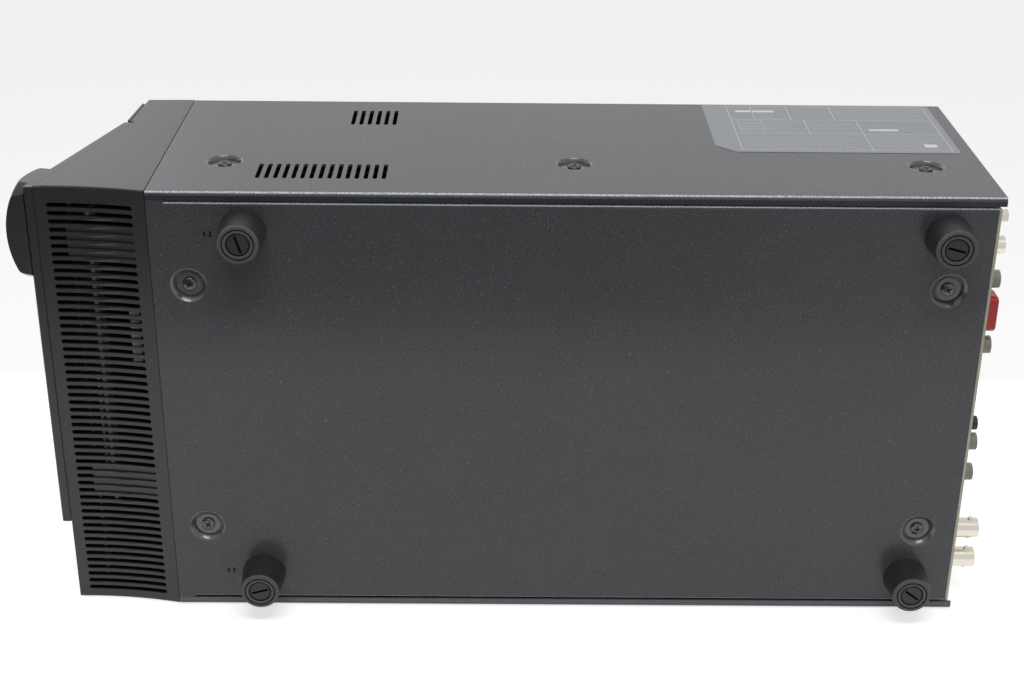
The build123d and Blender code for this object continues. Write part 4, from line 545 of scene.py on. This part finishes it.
@dataclass
class Feet:
    """Turned rubber feet with a moulded ring and paler downward faces, and the slotted pins that
    hold them, their slots painted shade.
    """

    places: tuple[Pair, ...] = ((88.0, 42.0), (88.0, 350.0), (-88.0, 42.0), (-88.0, 350.0))
    slot_turns: tuple[float, ...] = (-18.0, -75.0, 75.0, -53.0)
    height: float = 16.4
    radius: float = 9.1
    top_radius: float = 10.3
    edge: float = 1.2
    ring_radius: float = 6.9
    ring_width: float = 0.6
    ring_depth: float = 1.3
    recess_radius: float = 5.3
    recess_depth: float = 1.6
    pin_radius: float = 4.9
    pin_sink: float = 0.4
    slot: Triple = (8.0, 1.1, 0.6)
    pale_face_below: float = -0.5

    def profile(self) -> list[Pair]:
        """Draw half of a foot's section, from its top to the middle of its recess.

        Returns:
            Radius and distance below the pan of each corner.
        """
        low, r, edge = self.height, self.radius, self.edge
        rim = [(r - edge * (1 - math.cos(a)), low - edge * (1 - math.sin(a)))
               for a in (0.0, 0.4, 0.8, 1.2, math.pi / 2)]
        half, deep = self.ring_width / 2, low - self.ring_depth
        ring = [(self.ring_radius + half, low), (self.ring_radius + half * 0.6, deep),
                (self.ring_radius - half * 0.6, deep), (self.ring_radius - half, low)]
        inner = [(self.recess_radius + 0.25, low), (self.recess_radius, low - 0.25),
                 (self.recess_radius, low - self.recess_depth), (0.0, low - self.recess_depth)]
        return [(0.0, 0.0), (self.top_radius, 0.0), (self.top_radius, 0.6)] + rim + ring + inner

    def build(self) -> None:
        """Build the feet in place of the plain ones."""
        mesh = bmesh.new()
        for x, y in self.places:
            add_turned(mesh, place(x, y, 0), DOWN, self.profile(), sides=64)
        feet = finish_piece(mesh, "feet_turned", RUBBER, shading=Shading.SMOOTH, sharp=40)
        # Faces that look down take the paler rubber, chosen by their facing alone.
        feet.data.materials.append(PALE_FACE_RUBBER.material())
        for surface in feet.data.polygons:
            surface.material_index = int(surface.normal.z < self.pale_face_below)
        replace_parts(feet, "rubber_feet")
        shade, pins = bmesh.new(), bmesh.new()
        long, wide, deep = self.slot
        top, base, r = self.height - self.pin_sink, self.height - self.recess_depth, self.pin_radius
        head = [(r, base - 0.1), (r, top - 0.25), (r - 0.25, top), (0.0, top)]
        for (x, y), turn in zip(self.places, self.slot_turns):
            add_turned(pins, place(x, y, 0), DOWN, head)
            along = Vector((math.cos(math.radians(turn)), math.sin(math.radians(turn)), 0))
            # Painted shade: a dark block on each pin head where its slot would be; the slot is not
            # cut.
            add_block(shade, Face(place(x, y, 0), along, DOWN.cross(along)),
                      (-long / 2, -wide / 2, top - deep), (long / 2, wide / 2, top + 0.012))
        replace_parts(finish_piece(pins, "pin_heads", BLACK_PLASTIC), "foot_pins")
        finish_piece(shade, "pin_slot_shade", SLOT_SHADE)


@dataclass
class ScrewSeats:
    """Pressed seats with their flat floors, painted darker as shade, and the black screws in them.
    """

    pan_x: float = 62.0
    pan_y: Pair = (16.6, 353.5)
    side_x: float = 106.0
    side_y: Triple = (29.0, 187.5, 347.5)
    side_z: float = 41.0
    rim_radius: float = 8.3
    floor_radius: float = 5.7
    pan_depth: float = 2.4
    side_floor_radius: float = 6.9
    side_depth: float = 2.0
    cut_radius: float = 8.25
    cut_depth: float = 4.6
    head_radius: float = 3.1
    head_height: float = 1.3
    recess: Pair = (3.4, 0.8)
    turns: tuple[float, ...] = (20.0, 65.0, 10.0, 40.0, 75.0, 30.0, 55.0, 5.0, 45.0, 80.0)

    def pan_seats(self) -> list[tuple[Vector, Vector]]:
        """Give each seat of the pan: its middle at the sheet's outside and the way out of it."""
        return [(place(x, y, 0), DOWN) for x in (self.pan_x, -self.pan_x) for y in self.pan_y]

    def side_seats(self) -> list[tuple[Vector, Vector]]:
        """Give each seat of the cover: its middle at the sheet's outside and the way out of it."""
        return [(place(way * self.side_x, y, self.side_z), Vector((way, 0, 0)))
                for way in (1, -1) for y in self.side_y]

    def build_sheet(self, node: str, name: str, seats: list[tuple[Vector, Vector]]) -> None:
        """Build a folded sheet again with round openings for its seats.

        Args:
            node: The CAD node that it stands for.
            name: The piece's name.
            seats: The seats in it.
        """
        source = frame["nodes"][node]
        mesh = bmesh.new()
        mesh.from_mesh(source.data)
        mesh.transform(source.matrix_world)
        doomed = set()
        for middle, way in seats:
            inside = set()
            for corner in mesh.verts:
                offset = corner.co - middle
                along = offset.dot(way)
                if -self.cut_depth * MM < along < 0.1 * MM and \
                        (offset - way * along).length < self.cut_radius * MM:
                    inside.add(corner)
            doomed.update(f for corner in inside for f in corner.link_faces
                          if inside.issuperset(f.verts))
        bmesh.ops.delete(mesh, geom=list(doomed), context="FACES")
        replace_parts(finish_piece(mesh, name, CASE_PAINT, shading=Shading.KEPT), node)

    def build(self) -> None:
        """Build the sheets, the seats, the screws, and dark crosses of painted shade for their
        recesses.
        """
        self.build_sheet("bottom_pan", "pan_pressed", self.pan_seats())
        self.build_sheet("top_cover", "cover_pressed", self.side_seats())
        seats, heads, crosses = bmesh.new(), bmesh.new(), bmesh.new()
        rim = self.rim_radius
        places = [(seat, self.pan_depth, self.floor_radius) for seat in self.pan_seats()]
        places += [(seat, self.side_depth, self.side_floor_radius) for seat in self.side_seats()]
        long, wide = self.recess
        for ((middle, way), depth, floor), turn in zip(places, self.turns):
            r, top = self.head_radius, self.head_height - depth
            bowl = [(rim, 0.015), (rim - 0.25, -0.01), (rim - 0.45, -0.16),
                    (floor + 0.3, -depth + 0.4), (floor + 0.12, -depth - 0.3),
                    (floor - 0.2, -depth - 0.3), (floor - 0.3, -depth), (0.0, -depth)]
            dome = [(r, -depth - 0.1), (r, top - 0.6), (r - 0.2, top - 0.35),
                    (r - 0.7, top - 0.12), (0.5 * r, top - 0.03), (0.0, top)]
            add_turned(seats, middle, way, bowl)
            add_turned(heads, middle, way, dome)
            side = way.orthogonal().normalized()
            side.rotate(Matrix.Rotation(math.radians(turn), 3, way))
            up = way.cross(side)
            # Painted shade: two dark blocks cross each head where its recess would be.
            for across, along in ((side, up), (up, -side)):
                add_block(crosses, Face(middle, across, along),
                          (-long / 2, -wide / 2, top - 0.1), (long / 2, wide / 2, top + 0.015))
        # The seats take the darker paint: painted shade.
        finish_piece(seats, "screw_seats", SEAT_SHADE, shading=Shading.SMOOTH, sharp=50)
        screws = finish_piece(heads, "screw_heads", SCREW_BLACK, shading=Shading.SMOOTH, sharp=50)
        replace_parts(screws, "case_screws")
        finish_piece(crosses, "screw_cross_shade", PAINTED_RECESS_SHADE)


@dataclass
class Case:
    """Folds and bends of the cover and the pan, lances and the film on the right side.

    Places on the film are shares of its ruled area, and boxes are a count, a step and a size.
    """

    half_width: float = 106.0
    film_y: Pair = (254.5, 368.0)
    film_z: Pair = (59.0, 132.0)
    film_thickness: float = 0.15
    film_margin: float = 3.0
    film_cut: float = 9.0
    row_shares: Pair = (0.36, 0.68)
    column_rules: tuple[Triple, ...] = (
        (0.36, 0.36, 0.68), (0.62, 0.0, 0.68), (0.12, 0.68, 1.0), (0.3, 0.68, 1.0),
        (0.52, 0.68, 1.0))
    patches: tuple[tuple[float, ...], ...] = (
        (0.04, 0.86, 19.0, 3.0), (0.66, 0.44, 14.0, 2.6), (0.88, 0.08, 6.0, 4.4))
    dashed_fields: tuple[tuple[float, ...], ...] = (
        (0.36, 0.62, 0.36, 0.68), (0.62, 1.0, 0.0, 0.36), (0.0, 0.62, 0.0, 0.36),
        (0.12, 0.3, 0.68, 1.0), (0.52, 1.0, 0.68, 1.0), (0.14, 0.36, 0.36, 0.68))
    boxes: tuple[int, float, float, float] = (4, 4.6, 12.0, 3.4)
    dash_step: float = 2.9
    dash_inset: float = 2.0
    dash_gap: float = 1.0
    dash_height: float = 0.8
    rule: float = 0.4
    fold: Pair = (99.8, 105.0)
    fold_y: Pair = (0.45, 8.1)
    fold_z: Pair = (0.03, 1.15)
    bend_radius: float = 2.0
    bend_parts: int = 16
    bend_lift: float = 0.015
    # How far the painted highlight strips stand off the bends.
    highlight_lift: float = 0.025
    cover_height: float = 134.0
    cover_length: float = 373.8
    pan_half_width: float = 101.6
    pan_end: float = 371.0
    fold_strip: Pair = (102.1, 104.2)
    lances: tuple[Pair, ...] = ((86.5, 26.4), (-86.5, 26.4))
    lance_radius: float = 1.5
    lance_line: float = 0.7
    lance_turns: tuple[Pair, ...] = ((125, 225), (305, 415))

    def underside(self) -> Face:
        """Give the pan's underside, across to the rear and up to the right."""
        return Face(place(0, 0, 0), BACK, RIGHT)

    def build_folds(self) -> None:
        """Build the ends of the cover's narrow folds at the seam."""
        mesh = bmesh.new()
        for side in (1, -1):
            levels = sorted(side * z for z in self.fold_z)
            add_block(mesh, Face(place(0, 0, 0), RIGHT * side, BACK),
                      (self.fold[0], self.fold_y[0], levels[0]),
                      (self.fold[1], self.fold_y[1], levels[1]), 0.15)
        finish_piece(mesh, "fold_ends", CASE_PAINT)

    def bend_piece(self, name: str, finish: Finish, lift: float,
                   runs: tuple[tuple[float, ...], ...]) -> None:
        """Build round strips that lie on the bends of both sides.

        Args:
            name: The piece's name.
            finish: Its finish.
            lift: How far it stands off the bend.
            runs: Half width, height of the bend's middle, start and end of the turn in degrees,
                start and end along Y.
        """
        mesh = bmesh.new()
        radius = self.bend_radius + lift
        for half, z, first, last, start, end in runs:
            for side in (1, -1):
                rows = []
                for i in range(self.bend_parts + 1):
                    a = math.radians(first + (last - first) * i / self.bend_parts)
                    x = side * (half - self.bend_radius + radius * math.cos(a))
                    rows.append([mesh.verts.new(place(x, y, z + radius * math.sin(a)))
                                 for y in (start, end)])
                for low, high in zip(rows, rows[1:]):
                    corners = [low[0], low[1], high[1], high[0]]
                    mesh.faces.new(corners if side * (last - first) > 0 else corners[::-1])
        finish_piece(mesh, name, finish, shading=Shading.SMOOTH)

    def build_bends(self) -> None:
        """Build the rounded bends and a pale strip along the lower ones, a painted highlight."""
        low, high = self.bend_radius, self.cover_height - self.bend_radius
        (start, pan_start), end, pan_end = self.fold_y, self.cover_length, self.pan_end
        self.bend_piece("sheet_bends", CASE_PAINT, self.bend_lift,
                        ((self.half_width, low, -4, -86, start, end),
                         (self.half_width, high, 4, 86, start, end),
                         (self.pan_half_width, low, -4, -86, pan_start, pan_end)))
        # Painted highlight: pale strips along the lower bends of cover and pan, on both sides.
        self.bend_piece("painted_bend_highlight", PAINTED_BEND_HIGHLIGHT, self.highlight_lift,
                        ((self.half_width, low, -16, -46, start, end),
                         (self.pan_half_width, low, -28, -62, pan_start, pan_end)))

    def build_fold_shade(self) -> None:
        """Build flat strips on the cover's fold undersides: darker on the right as painted shade,
        paler on the left as painted light.
        """
        near, far = self.fold_strip
        # Right strip: painted shade. Left strip: painted light.
        for name, finish, low in (("right_fold_painted_shade", PAINTED_FOLD_SHADE, near),
                                  ("left_fold_painted_light", PAINTED_FOLD_LIGHT, -far)):
            strip = FlatPiece(name, self.underside(), finish, thickness=0.04, sink=0.02)
            strip.rectangle(self.fold_y[0], low, self.cover_length - self.fold_y[0], far - near)
            strip.build()

    def build_lances(self) -> None:
        """Build the two half-cut lance marks near the front feet: plain discs with dark arcs of
        painted shade on their cut lines.
        """
        under = self.underside()
        plugs = FlatPiece("lance_plugs", under, CASE_PAINT, thickness=0.06, sink=0.03)
        # Dark arcs lie on the real cut lines and paint the shade of their slits, which are not cut.
        cuts = FlatPiece("lance_cut_shade", under, SLOT_SHADE, thickness=0.06, sink=0.01)
        for x, y in self.lances:
            plugs.disc(y, x, self.lance_radius)
            for start, end in self.lance_turns:
                cuts.arc(y, x, self.lance_radius, self.lance_line, start, end, 10)
        plugs.build()
        cuts.build()

    def build_film(self) -> None:
        """Build the ruled fields, rows of dashes and blank patches on the film."""
        side = Face(place(self.half_width + self.film_thickness, 0, 0), BACK, Vector((0, 0, 1)))
        lines = FlatPiece("film_rules", side, FILM_PRINT, thickness=0.03)
        patches = FlatPiece("film_patches", side, PRINT_LIGHT, thickness=0.03)
        dashes = FlatPiece("film_dashes", side, FILM_DASH, thickness=0.025)
        left = self.film_y[0] + self.film_cut + self.film_margin
        bottom = self.film_z[0] + self.film_margin
        wide = self.film_y[1] - self.film_margin - left
        tall = self.film_z[1] - self.film_margin - bottom
        rule = self.rule
        lines.ruled_box(left, bottom, wide, tall, rule)
        for share in self.row_shares:
            lines.rectangle(left + rule, bottom + share * tall, wide - 2 * rule, rule)
        for a, low, high in self.column_rules:
            lines.rectangle(left + a * wide, bottom + low * tall + rule, rule,
                            (high - low) * tall - rule)
        count, step, box_w, box_h = self.boxes
        for i in range(count):
            lines.ruled_box(left + 3, bottom + 0.4 * tall + i * step, box_w, box_h, 0.3)
        for a, b, width, height in self.patches:
            patches.rectangle(left + a * wide, bottom + b * tall, width, height)
        for a0, a1, b0, b1 in self.dashed_fields:
            self.fill_with_dashes(dashes, (left + a0 * wide, left + a1 * wide),
                                  (bottom + b0 * tall, bottom + b1 * tall))
        for piece in (lines, patches, dashes):
            piece.build()

    def fill_with_dashes(self, piece: FlatPiece, across: Pair, up: Pair) -> None:
        """Fill one field with rows of plain dashes.

        Args:
            piece: The piece to add to.
            across: The field's left and right edges.
            up: Its lower and upper edges.
        """
        (left, right), (low, high), inset = across, up, self.dash_inset
        for row in range(int((high - low - inset) / self.dash_step)):
            at, end, turn = left + inset, right - inset - 2.0 * (row * 3 % 5), row
            while at < end:
                length = 3.0 + 0.9 * (turn * 5 % 7)
                piece.rectangle(at, low + inset + row * self.dash_step, min(length, end - at),
                                self.dash_height)
                at += length + self.dash_gap
                turn += 1

    def build(self) -> None:
        """Build the case's own small pieces."""
        self.build_folds()
        self.build_bends()
        self.build_fold_shade()
        self.build_lances()
        self.build_film()


@dataclass
class Front:
    """What is printed on the keys, the display's figures and what shows behind the chin slots.

    Lengths ending in _s run up the sloping face. A row is a count, a first place and a pitch.
    Digits and level bars are a count, a step, a width and a height.
    """

    chin_y: float = -49.2
    chin_z: float = 6.0
    tilt: float = 15.716
    brow_y: float = -25.7
    brow_z: float = 97.4
    brow_tilt: float = 3.825
    panel_thickness: float = 4.0
    band_thickness: float = 1.1
    key_proud: float = 1.2
    first_key_x: float = -50.0
    key_pitch: float = 19.0
    transport_s: float = 23.0
    menu_s: float = 41.0
    power_key: Pair = (-82.0, 27.0)
    open_key: Pair = (91.0, 14.23)
    display: tuple[float, float, float, float] = (-2.0, 68.0, 106.0, 24.0)
    window_thickness: float = 3.2
    digits: tuple[int, float, float, float] = (8, 8.2, 5.4, 9.6)
    digit_bar: float = 0.8
    level_bars: tuple[int, float, float, float] = (24, 2.9, 2.1, 1.2)
    board_out: float = -10.5
    board_thickness: float = 1.6
    board_bottom_s: float = 9.0
    board_half_width: float = 98.0
    joints: tuple[int, float, float] = (34, -84.0, 5.1)
    chips: tuple[tuple[float, ...], ...] = (
        (-88, 18, 6, 9), (-70, 16, 12, 8), (-50, 17, 5, 5), (-28, 16, 14, 8),
        (-6, 17, 5, 7), (14, 16, 10, 8), (34, 18, 6, 6), (70, 40, 12, 12))
    sockets: tuple[Pair, ...] = ((-34.0, 70.5), (90.5, 95.5), (-52.0, -48.0))
    socket_s: Pair = (7.6, 13.4)
    socket_reach: float = 9.8
    strip_reach: float = 1.9
    socket_pins: tuple[int, float, float] = (26, -32.0, 4.0)
    heels: tuple[int, float, float] = (6, 20.0, 4.7)

    def face(self, lean: float, y: float, z: float) -> Face:
        """Make a front face that leans back by some degrees from its lower edge at y, z."""
        t = math.radians(lean)
        return Face(place(0, y, z), RIGHT, Vector((0, math.sin(t), math.cos(t))))

    def slope(self) -> Face:
        """Give the sloping face, which the control panel lies on."""
        return self.face(self.tilt, self.chin_y, self.chin_z)

    def symbol(self, key: str, x: float, s: float, out: float, face: Face) -> FlatPiece:
        """Start the print on a key whose cap stands off a face at a place on it."""
        cap = Face(face.point(x, s, out), face.across, face.up)
        return FlatPiece(f"symbol_{key}", cap, PRINT_LIGHT, body=f"{key}_key", thickness=0.04)

    def build_symbols(self) -> None:
        """Build the plain key symbols."""
        slope = self.slope()
        out = self.panel_thickness + self.key_proud
        rows = ((self.transport_s, ("reverse", "play", "forward", "pause", "stop", "record")),
                (self.menu_s, ("menu", "back")))
        caps = {name: self.symbol(name, self.first_key_x + i * self.key_pitch, s, out, slope)
                for s, names in rows for i, name in enumerate(names)}
        for shift in (-1.3, 1.3):
            caps["reverse"].triangle(shift, 0, 2.4, 3.0, 180)
            caps["forward"].triangle(shift, 0, 2.4, 3.0, 0)
            caps["pause"].rectangle(shift * 0.75 - 0.45, -1.5, 0.9, 3.0)
        caps["play"].triangle(0, 0, 3.0, 3.4, 0)
        caps["stop"].rectangle(-1.4, -1.4, 2.8, 2.8)
        caps["record"].disc(0, 0, 1.6)
        for level in (-1.1, -0.2, 0.7):
            caps["menu"].rectangle(-1.8, level, 3.6, 0.4)
        caps["back"].arc(0.2, 0, 1.1, 0.4, -90, 90)
        caps["back"].rectangle(-1.5, -1.3, 1.7, 0.4)
        caps["back"].rectangle(-1.0, 0.9, 1.2, 0.4)
        caps["back"].triangle(-1.5, 1.1, 1.4, 1.6, 180)
        caps["power"] = self.symbol("power", *self.power_key, self.key_proud, slope)
        caps["power"].arc(0, 0, 2.4, 0.5, 115, 425)
        caps["power"].rectangle(-0.25, 0.8, 0.5, 2.4)
        brow = self.face(self.brow_tilt, self.brow_y, self.brow_z)
        caps["open"] = self.symbol("open", *self.open_key,
                                   self.band_thickness + self.key_proud, brow)
        caps["open"].triangle(0, 0.6, 1.8, 3.4, 90)
        caps["open"].rectangle(-1.7, -1.4, 3.4, 0.6)
        for piece in caps.values():
            piece.build()

    def build_display(self) -> None:
        """Build the unlit figures and level bars as they show through the smoked window."""
        slope = self.slope()
        x, s, width, height = self.display
        glass = Face(slope.point(x, s, self.window_thickness), RIGHT, slope.up)
        figures = FlatPiece("display_segments", glass, SEGMENT, thickness=0.03, sink=0.02)
        left, low, bar = -width / 2 + 8, -height / 2, self.digit_bar
        count, step, digit_w, digit_h = self.digits
        for i in range(count):
            start = left + i * step + (2.6 if i > 3 else 0)
            base = low + 10.5
            for level in (0, (digit_h - bar) / 2, digit_h - bar):
                figures.rectangle(start + bar + 0.15, base + level, digit_w - 2 * bar - 0.3, bar)
            for side in (start, start + digit_w - bar):
                for foot in (bar / 2, digit_h / 2):
                    figures.rectangle(side, base + foot + 0.35, bar, digit_h / 2 - bar - 0.2)
        count, step, bar_w, bar_h = self.level_bars
        for row in (0, 1):
            for i in range(count):
                figures.rectangle(left + i * step, low + 3.0 + row * 2.6, bar_w, bar_h)
        for i in range(3):
            figures.ruled_box(width / 2 - 22, low + 4 + i * 5.8, 14, 3.6, 0.35)
        figures.build()

    def build_board_parts(self) -> None:
        """Build the board's bare lower edge and the small parts seen through the chin slots."""
        slope = self.slope()
        back = self.board_out - self.board_thickness
        half, low = self.board_half_width - 0.4, self.board_bottom_s - 0.05
        edge, tabs, chips = bmesh.new(), bmesh.new(), bmesh.new()
        add_block(edge, slope, (-half, low, back + 0.15), (half, low + 0.06, self.board_out - 0.15))
        for x in spread(self.joints):
            add_block(tabs, slope, (x - 0.9, low + 1.2, back - 1.5),
                      (x + 0.9, low + 2.4, back + 0.02), 0.15)
        for x, s, w, h in self.chips:
            add_block(chips, slope, (x - w / 2, s - h / 2, back - 2.0),
                      (x + w / 2, s + h / 2, back), 0.2)
        finish_piece(edge, "control_board_edge", BOARD_EDGE)
        finish_piece(tabs, "control_board_joints", SOLDER)
        finish_piece(chips, "control_board_chips", BLACK_PLASTIC)

    def build_ribbon_socket(self) -> None:
        """Build the pale ribbon sockets that stand out behind the board."""
        slope = self.slope()
        back = self.board_out - self.board_thickness
        body, strip, pins = bmesh.new(), bmesh.new(), bmesh.new()
        low, high = self.socket_s
        tip = back - self.socket_reach
        root = tip + self.strip_reach
        for x0, x1 in self.sockets:
            add_block(body, slope, (x0, low, root), (x1, high + 2.0, back + 0.05), 0.2)
            add_block(strip, slope, (x0, low - 0.4, tip), (x1, high, root), 0.15)
        for x in spread(self.socket_pins):
            add_block(pins, slope, (x - 0.45, low - 0.9, tip + 3.0), (x + 0.45, low, tip + 4.4),
                      0.1)
        for x in spread(self.heels):
            add_block(strip, Face(place(0, 0, 0), RIGHT, BACK), (x, -12.0, 4.4),
                      (x + 3.6, -7.6, 8.0), 0.2)
        finish_piece(body, "ribbon_socket_body", BLACK_PLASTIC)
        finish_piece(strip, "ribbon_socket_strip", PALE_NYLON)
        finish_piece(pins, "ribbon_socket_pins", SOLDER)

    def build(self) -> None:
        """Build everything on and behind the front."""
        self.build_symbols()
        self.build_display()
        self.build_board_parts()
        self.build_ribbon_socket()


def seen_rays(tree: Tree) -> Socket:
    """Tell the rays that show a surface to the eye from those that only light others.

    Args:
        tree: The node tree to add to.

    Returns:
        An output that is 1 for what is seen directly, in a gloss or through glass.
    """
    path = tree.nodes.new("ShaderNodeLightPath")
    total = path.outputs["Is Camera Ray"]
    for name in ("Is Glossy Ray", "Is Transmission Ray"):
        total = combine(tree, "MAXIMUM", total, path.outputs[name])
    return total


def mix_shaders(tree: Tree, share: Socket, first: Socket, second: Socket, end: str) -> None:
    """Mix two shaders into the end of a node tree.

    Args:
        tree: The node tree to add to.
        share: How much of the second shows.
        first: The first shader.
        second: The second shader.
        end: The name of the output node.
    """
    mix = tree.nodes.new("ShaderNodeMixShader")
    for plug, socket in zip(mix.inputs, (share, first, second)):
        tree.links.new(socket, plug)
    tree.links.new(mix.outputs["Shader"], tree.nodes[end].inputs["Surface"])


@dataclass
class Stage:
    """Pale tables, wall, light and the camera of the photo.

    The surroundings are bright behind and over the recorder as it lies, and dim below its feet.
    A look is how much light a surface gives back and how much it glows.
    """

    table_x: float = -0.10625
    table_end_z: float = 0.267
    table_front_z: float = -0.3
    table_half_y: float = 0.42
    table_look: Pair = (0.82, 0.62)
    floor_look: Pair = (0.80, 0.46)
    reach: float = 1.6
    wall_range: Pair = (0.965, 0.88)
    wall_span: Pair = (-0.42, -0.26)
    dim_way: Triple = (-0.45, -0.62, -0.64)
    dim_range: Pair = (1.0, 0.22)
    dim_span: Pair = (0.5, 0.75)
    room_range: Pair = (0.05, 0.72)
    room_span: Pair = (-0.45, 0.6)
    room_bright_way: Triple = (0.6, 0.0, 0.8)
    key_at: Triple = (1.25, 0.0, -0.55)
    key_watts: float = 6.0
    key_size: Pair = (0.9, 0.14)
    fill_at: Triple = (0.35, -1.0, 1.15)
    fill_watts: float = 1.4
    fill_size: Pair = (1.2, 1.2)
    lamp_aim: Triple = (0.0, 0.0, 0.07)
    camera_at: Triple = (0.35865, -0.0065156, -0.66794)
    camera_right: Triple = (0.00928, 0.99995, -0.00249)
    camera_up: Triple = (0.90438, -0.00733, 0.42667)
    camera_forward: Triple = (-0.42663, 0.00622, 0.90441)
    lens_mm: float = 59.19
    sensor_mm: float = 36.0

    def one_sided(self, name: str, look: Pair) -> bpy.types.Material:
        """Make a pale table surface that is clear from behind.

        Args:
            name: The material's name.
            look: How much light it gives back, and its own faint light for a white table.

        Returns:
            The material.
        """
        albedo, glow = look
        material = bpy.data.materials.new(name)
        material.use_nodes = True
        tree = material.node_tree
        shader = tree.nodes["Principled BSDF"]
        values = {"Base Color": (albedo, albedo, albedo, 1.0), "Roughness": 0.9,
                  "Specular IOR Level": 0.1, "Emission Color": (1.0, 1.0, 1.0, 1.0)}
        for title, value in values.items():
            shader.inputs[title].default_value = value
        tree.links.new(map_range(tree, seen_rays(tree), (0.0, 1.0), (0.0, glow)),
                       shader.inputs["Emission Strength"])
        clear = tree.nodes.new("ShaderNodeBsdfTransparent")
        geometry = tree.nodes.new("ShaderNodeNewGeometry")
        mix_shaders(tree, geometry.outputs["Backfacing"], shader.outputs["BSDF"],
                    clear.outputs["BSDF"], "Material Output")
        return material

    def plane(self, name: str, corners: list[Triple],
              material: bpy.types.Material) -> Piece:
        """Make one stage surface.

        Args:
            name: Its name.
            corners: Its corners, counter-clockwise from its lit side.
            material: Its material.

        Returns:
            The new object.
        """
        mesh = bmesh.new()
        mesh.faces.new([mesh.verts.new(corner) for corner in corners])
        bmesh.ops.subdivide_edges(mesh, edges=mesh.edges, cuts=3, use_grid_fill=True)
        surface = add_object(mesh, name)
        surface.data.materials.append(material)
        surface.visible_shadow = False
        return surface

    def build_tables(self) -> None:
        """Build the table that the recorder lies on and a floor under its feet."""
        x, r, end = self.table_x, self.reach, self.table_end_z
        side, near = self.table_half_y, self.table_front_z
        self.plane("stage_table",
                   [(x, -side, near), (x, side, near), (x, side, end), (x, -side, end)],
                   self.one_sided("stage_table", self.table_look))
        floor = self.plane("stage_floor", [(-r, -r, 0), (r, -r, 0), (r, r, 0), (-r, r, 0)],
                           self.one_sided("stage_floor", self.floor_look))
        floor.visible_diffuse = False
        floor.visible_glossy = False
        floor.visible_transmission = False

    def ramp(self, tree: Tree, way: Triple, span: Pair,
             levels: Pair) -> Socket:
        """Make a brightness that changes with the direction looked in.

        Args:
            tree: The world's node tree.
            way: The direction measured along.
            span: The part of that direction's range that the change takes.
            levels: The brightness at its start and end.

        Returns:
            The brightness output.
        """
        coords = tree.nodes.new("ShaderNodeTexCoord")
        along = tree.nodes.new("ShaderNodeVectorMath")
        along.operation = "DOT_PRODUCT"
        along.inputs[1].default_value = way
        tree.links.new(coords.outputs["Generated"], along.inputs[0])
        return map_range(tree, along.outputs["Value"], span, levels, "SMOOTHSTEP")

    def build_world(self) -> None:
        """Build the pale surroundings: an even wall to the eye, a dimmer room below."""
        world = bpy.data.worlds.new("surroundings")
        world.use_nodes = True
        tree = world.node_tree
        wall = tree.nodes["Background"]
        room = tree.nodes.new("ShaderNodeBackground")
        for ground in (wall, room):
            ground.inputs["Color"].default_value = (1.0, 1.0, 1.0, 1.0)
        even = self.ramp(tree, (1.0, 0.0, 0.0), self.wall_span, self.wall_range)
        dim = self.ramp(tree, self.dim_way, self.dim_span, self.dim_range)
        tree.links.new(combine(tree, "MULTIPLY", even, dim), wall.inputs["Strength"])
        tree.links.new(self.ramp(tree, self.room_bright_way, self.room_span, self.room_range),
                       room.inputs["Strength"])
        mix_shaders(tree, seen_rays(tree), room.outputs["Background"], wall.outputs["Background"],
                    "World Output")
        bpy.context.scene.world = world

    def lamp(self, name: str, at: Triple, watts: float, size: Pair) -> None:
        """Hang one soft lamp that points at the recorder.

        Args:
            name: Its name.
            at: Where it hangs, in metres in the row frame.
            watts: Its power.
            size: Its length along the level and its other length, in metres.
        """
        data = bpy.data.lights.new(name, "AREA")
        data.energy = watts
        data.shape = "RECTANGLE"
        data.size, data.size_y = size
        lamp = bpy.data.objects.new(name, data)
        lamp.location = at
        lamp.rotation_mode = "QUATERNION"
        lamp.rotation_quaternion = (Vector(self.lamp_aim) - Vector(at)).to_track_quat("-Z", "Y")
        lamp.visible_camera = False
        bpy.context.scene.collection.objects.link(lamp)

    def build_camera(self) -> None:
        """Place the camera where the photo was taken from."""
        data = bpy.data.cameras.new("photo_camera")
        data.lens = self.lens_mm
        data.sensor_width = self.sensor_mm
        data.sensor_fit = "HORIZONTAL"
        data.clip_start, data.clip_end = 0.01, 50.0
        camera = bpy.data.objects.new("photo_camera", data)
        right, up = Vector(self.camera_right), Vector(self.camera_up)
        back = -Vector(self.camera_forward)
        turned = Matrix((right, up, back)).transposed().to_4x4()
        camera.matrix_world = Matrix.Translation(self.camera_at) @ turned
        bpy.context.scene.collection.objects.link(camera)
        bpy.context.scene.camera = camera

    def build(self) -> None:
        """Build the whole stage."""
        self.build_tables()
        self.build_world()
        self.lamp("stage_key", self.key_at, self.key_watts, self.key_size)
        self.lamp("stage_fill", self.fill_at, self.fill_watts, self.fill_size)
        self.build_camera()
        bpy.context.scene.view_settings.view_transform = "Standard"
        LOG.info("stage: table, floor, surroundings, two soft lamps and the camera")


@dataclass
class Recorder:
    """The whole machine: its CAD nodes dressed and its looks added."""

    feet: Feet = field(default_factory=Feet)
    seats: ScrewSeats = field(default_factory=ScrewSeats)
    case: Case = field(default_factory=Case)
    front: Front = field(default_factory=Front)

    def dress_nodes(self) -> None:
        """Give every CAD node the finish of its material slot."""
        for subpart in frame["record"]["subparts"]:
            node = frame["nodes"][subpart["node"]]
            dress(node, FINISH_BY_SLOT[subpart["material_slot"]])
            LOG.info("%s: dressed in %s", node.name, subpart["material_slot"])

    def build(self) -> None:
        """Dress the CAD and build the added pieces."""
        self.dress_nodes()
        self.feet.build()
        self.seats.build()
        self.case.build()
        self.front.build()


def main() -> None:
    logging.basicConfig(level=logging.INFO, format="%(name)s %(message)s")
    Recorder().build()
    Stage().build()


if __name__ == "__main__":
    main()
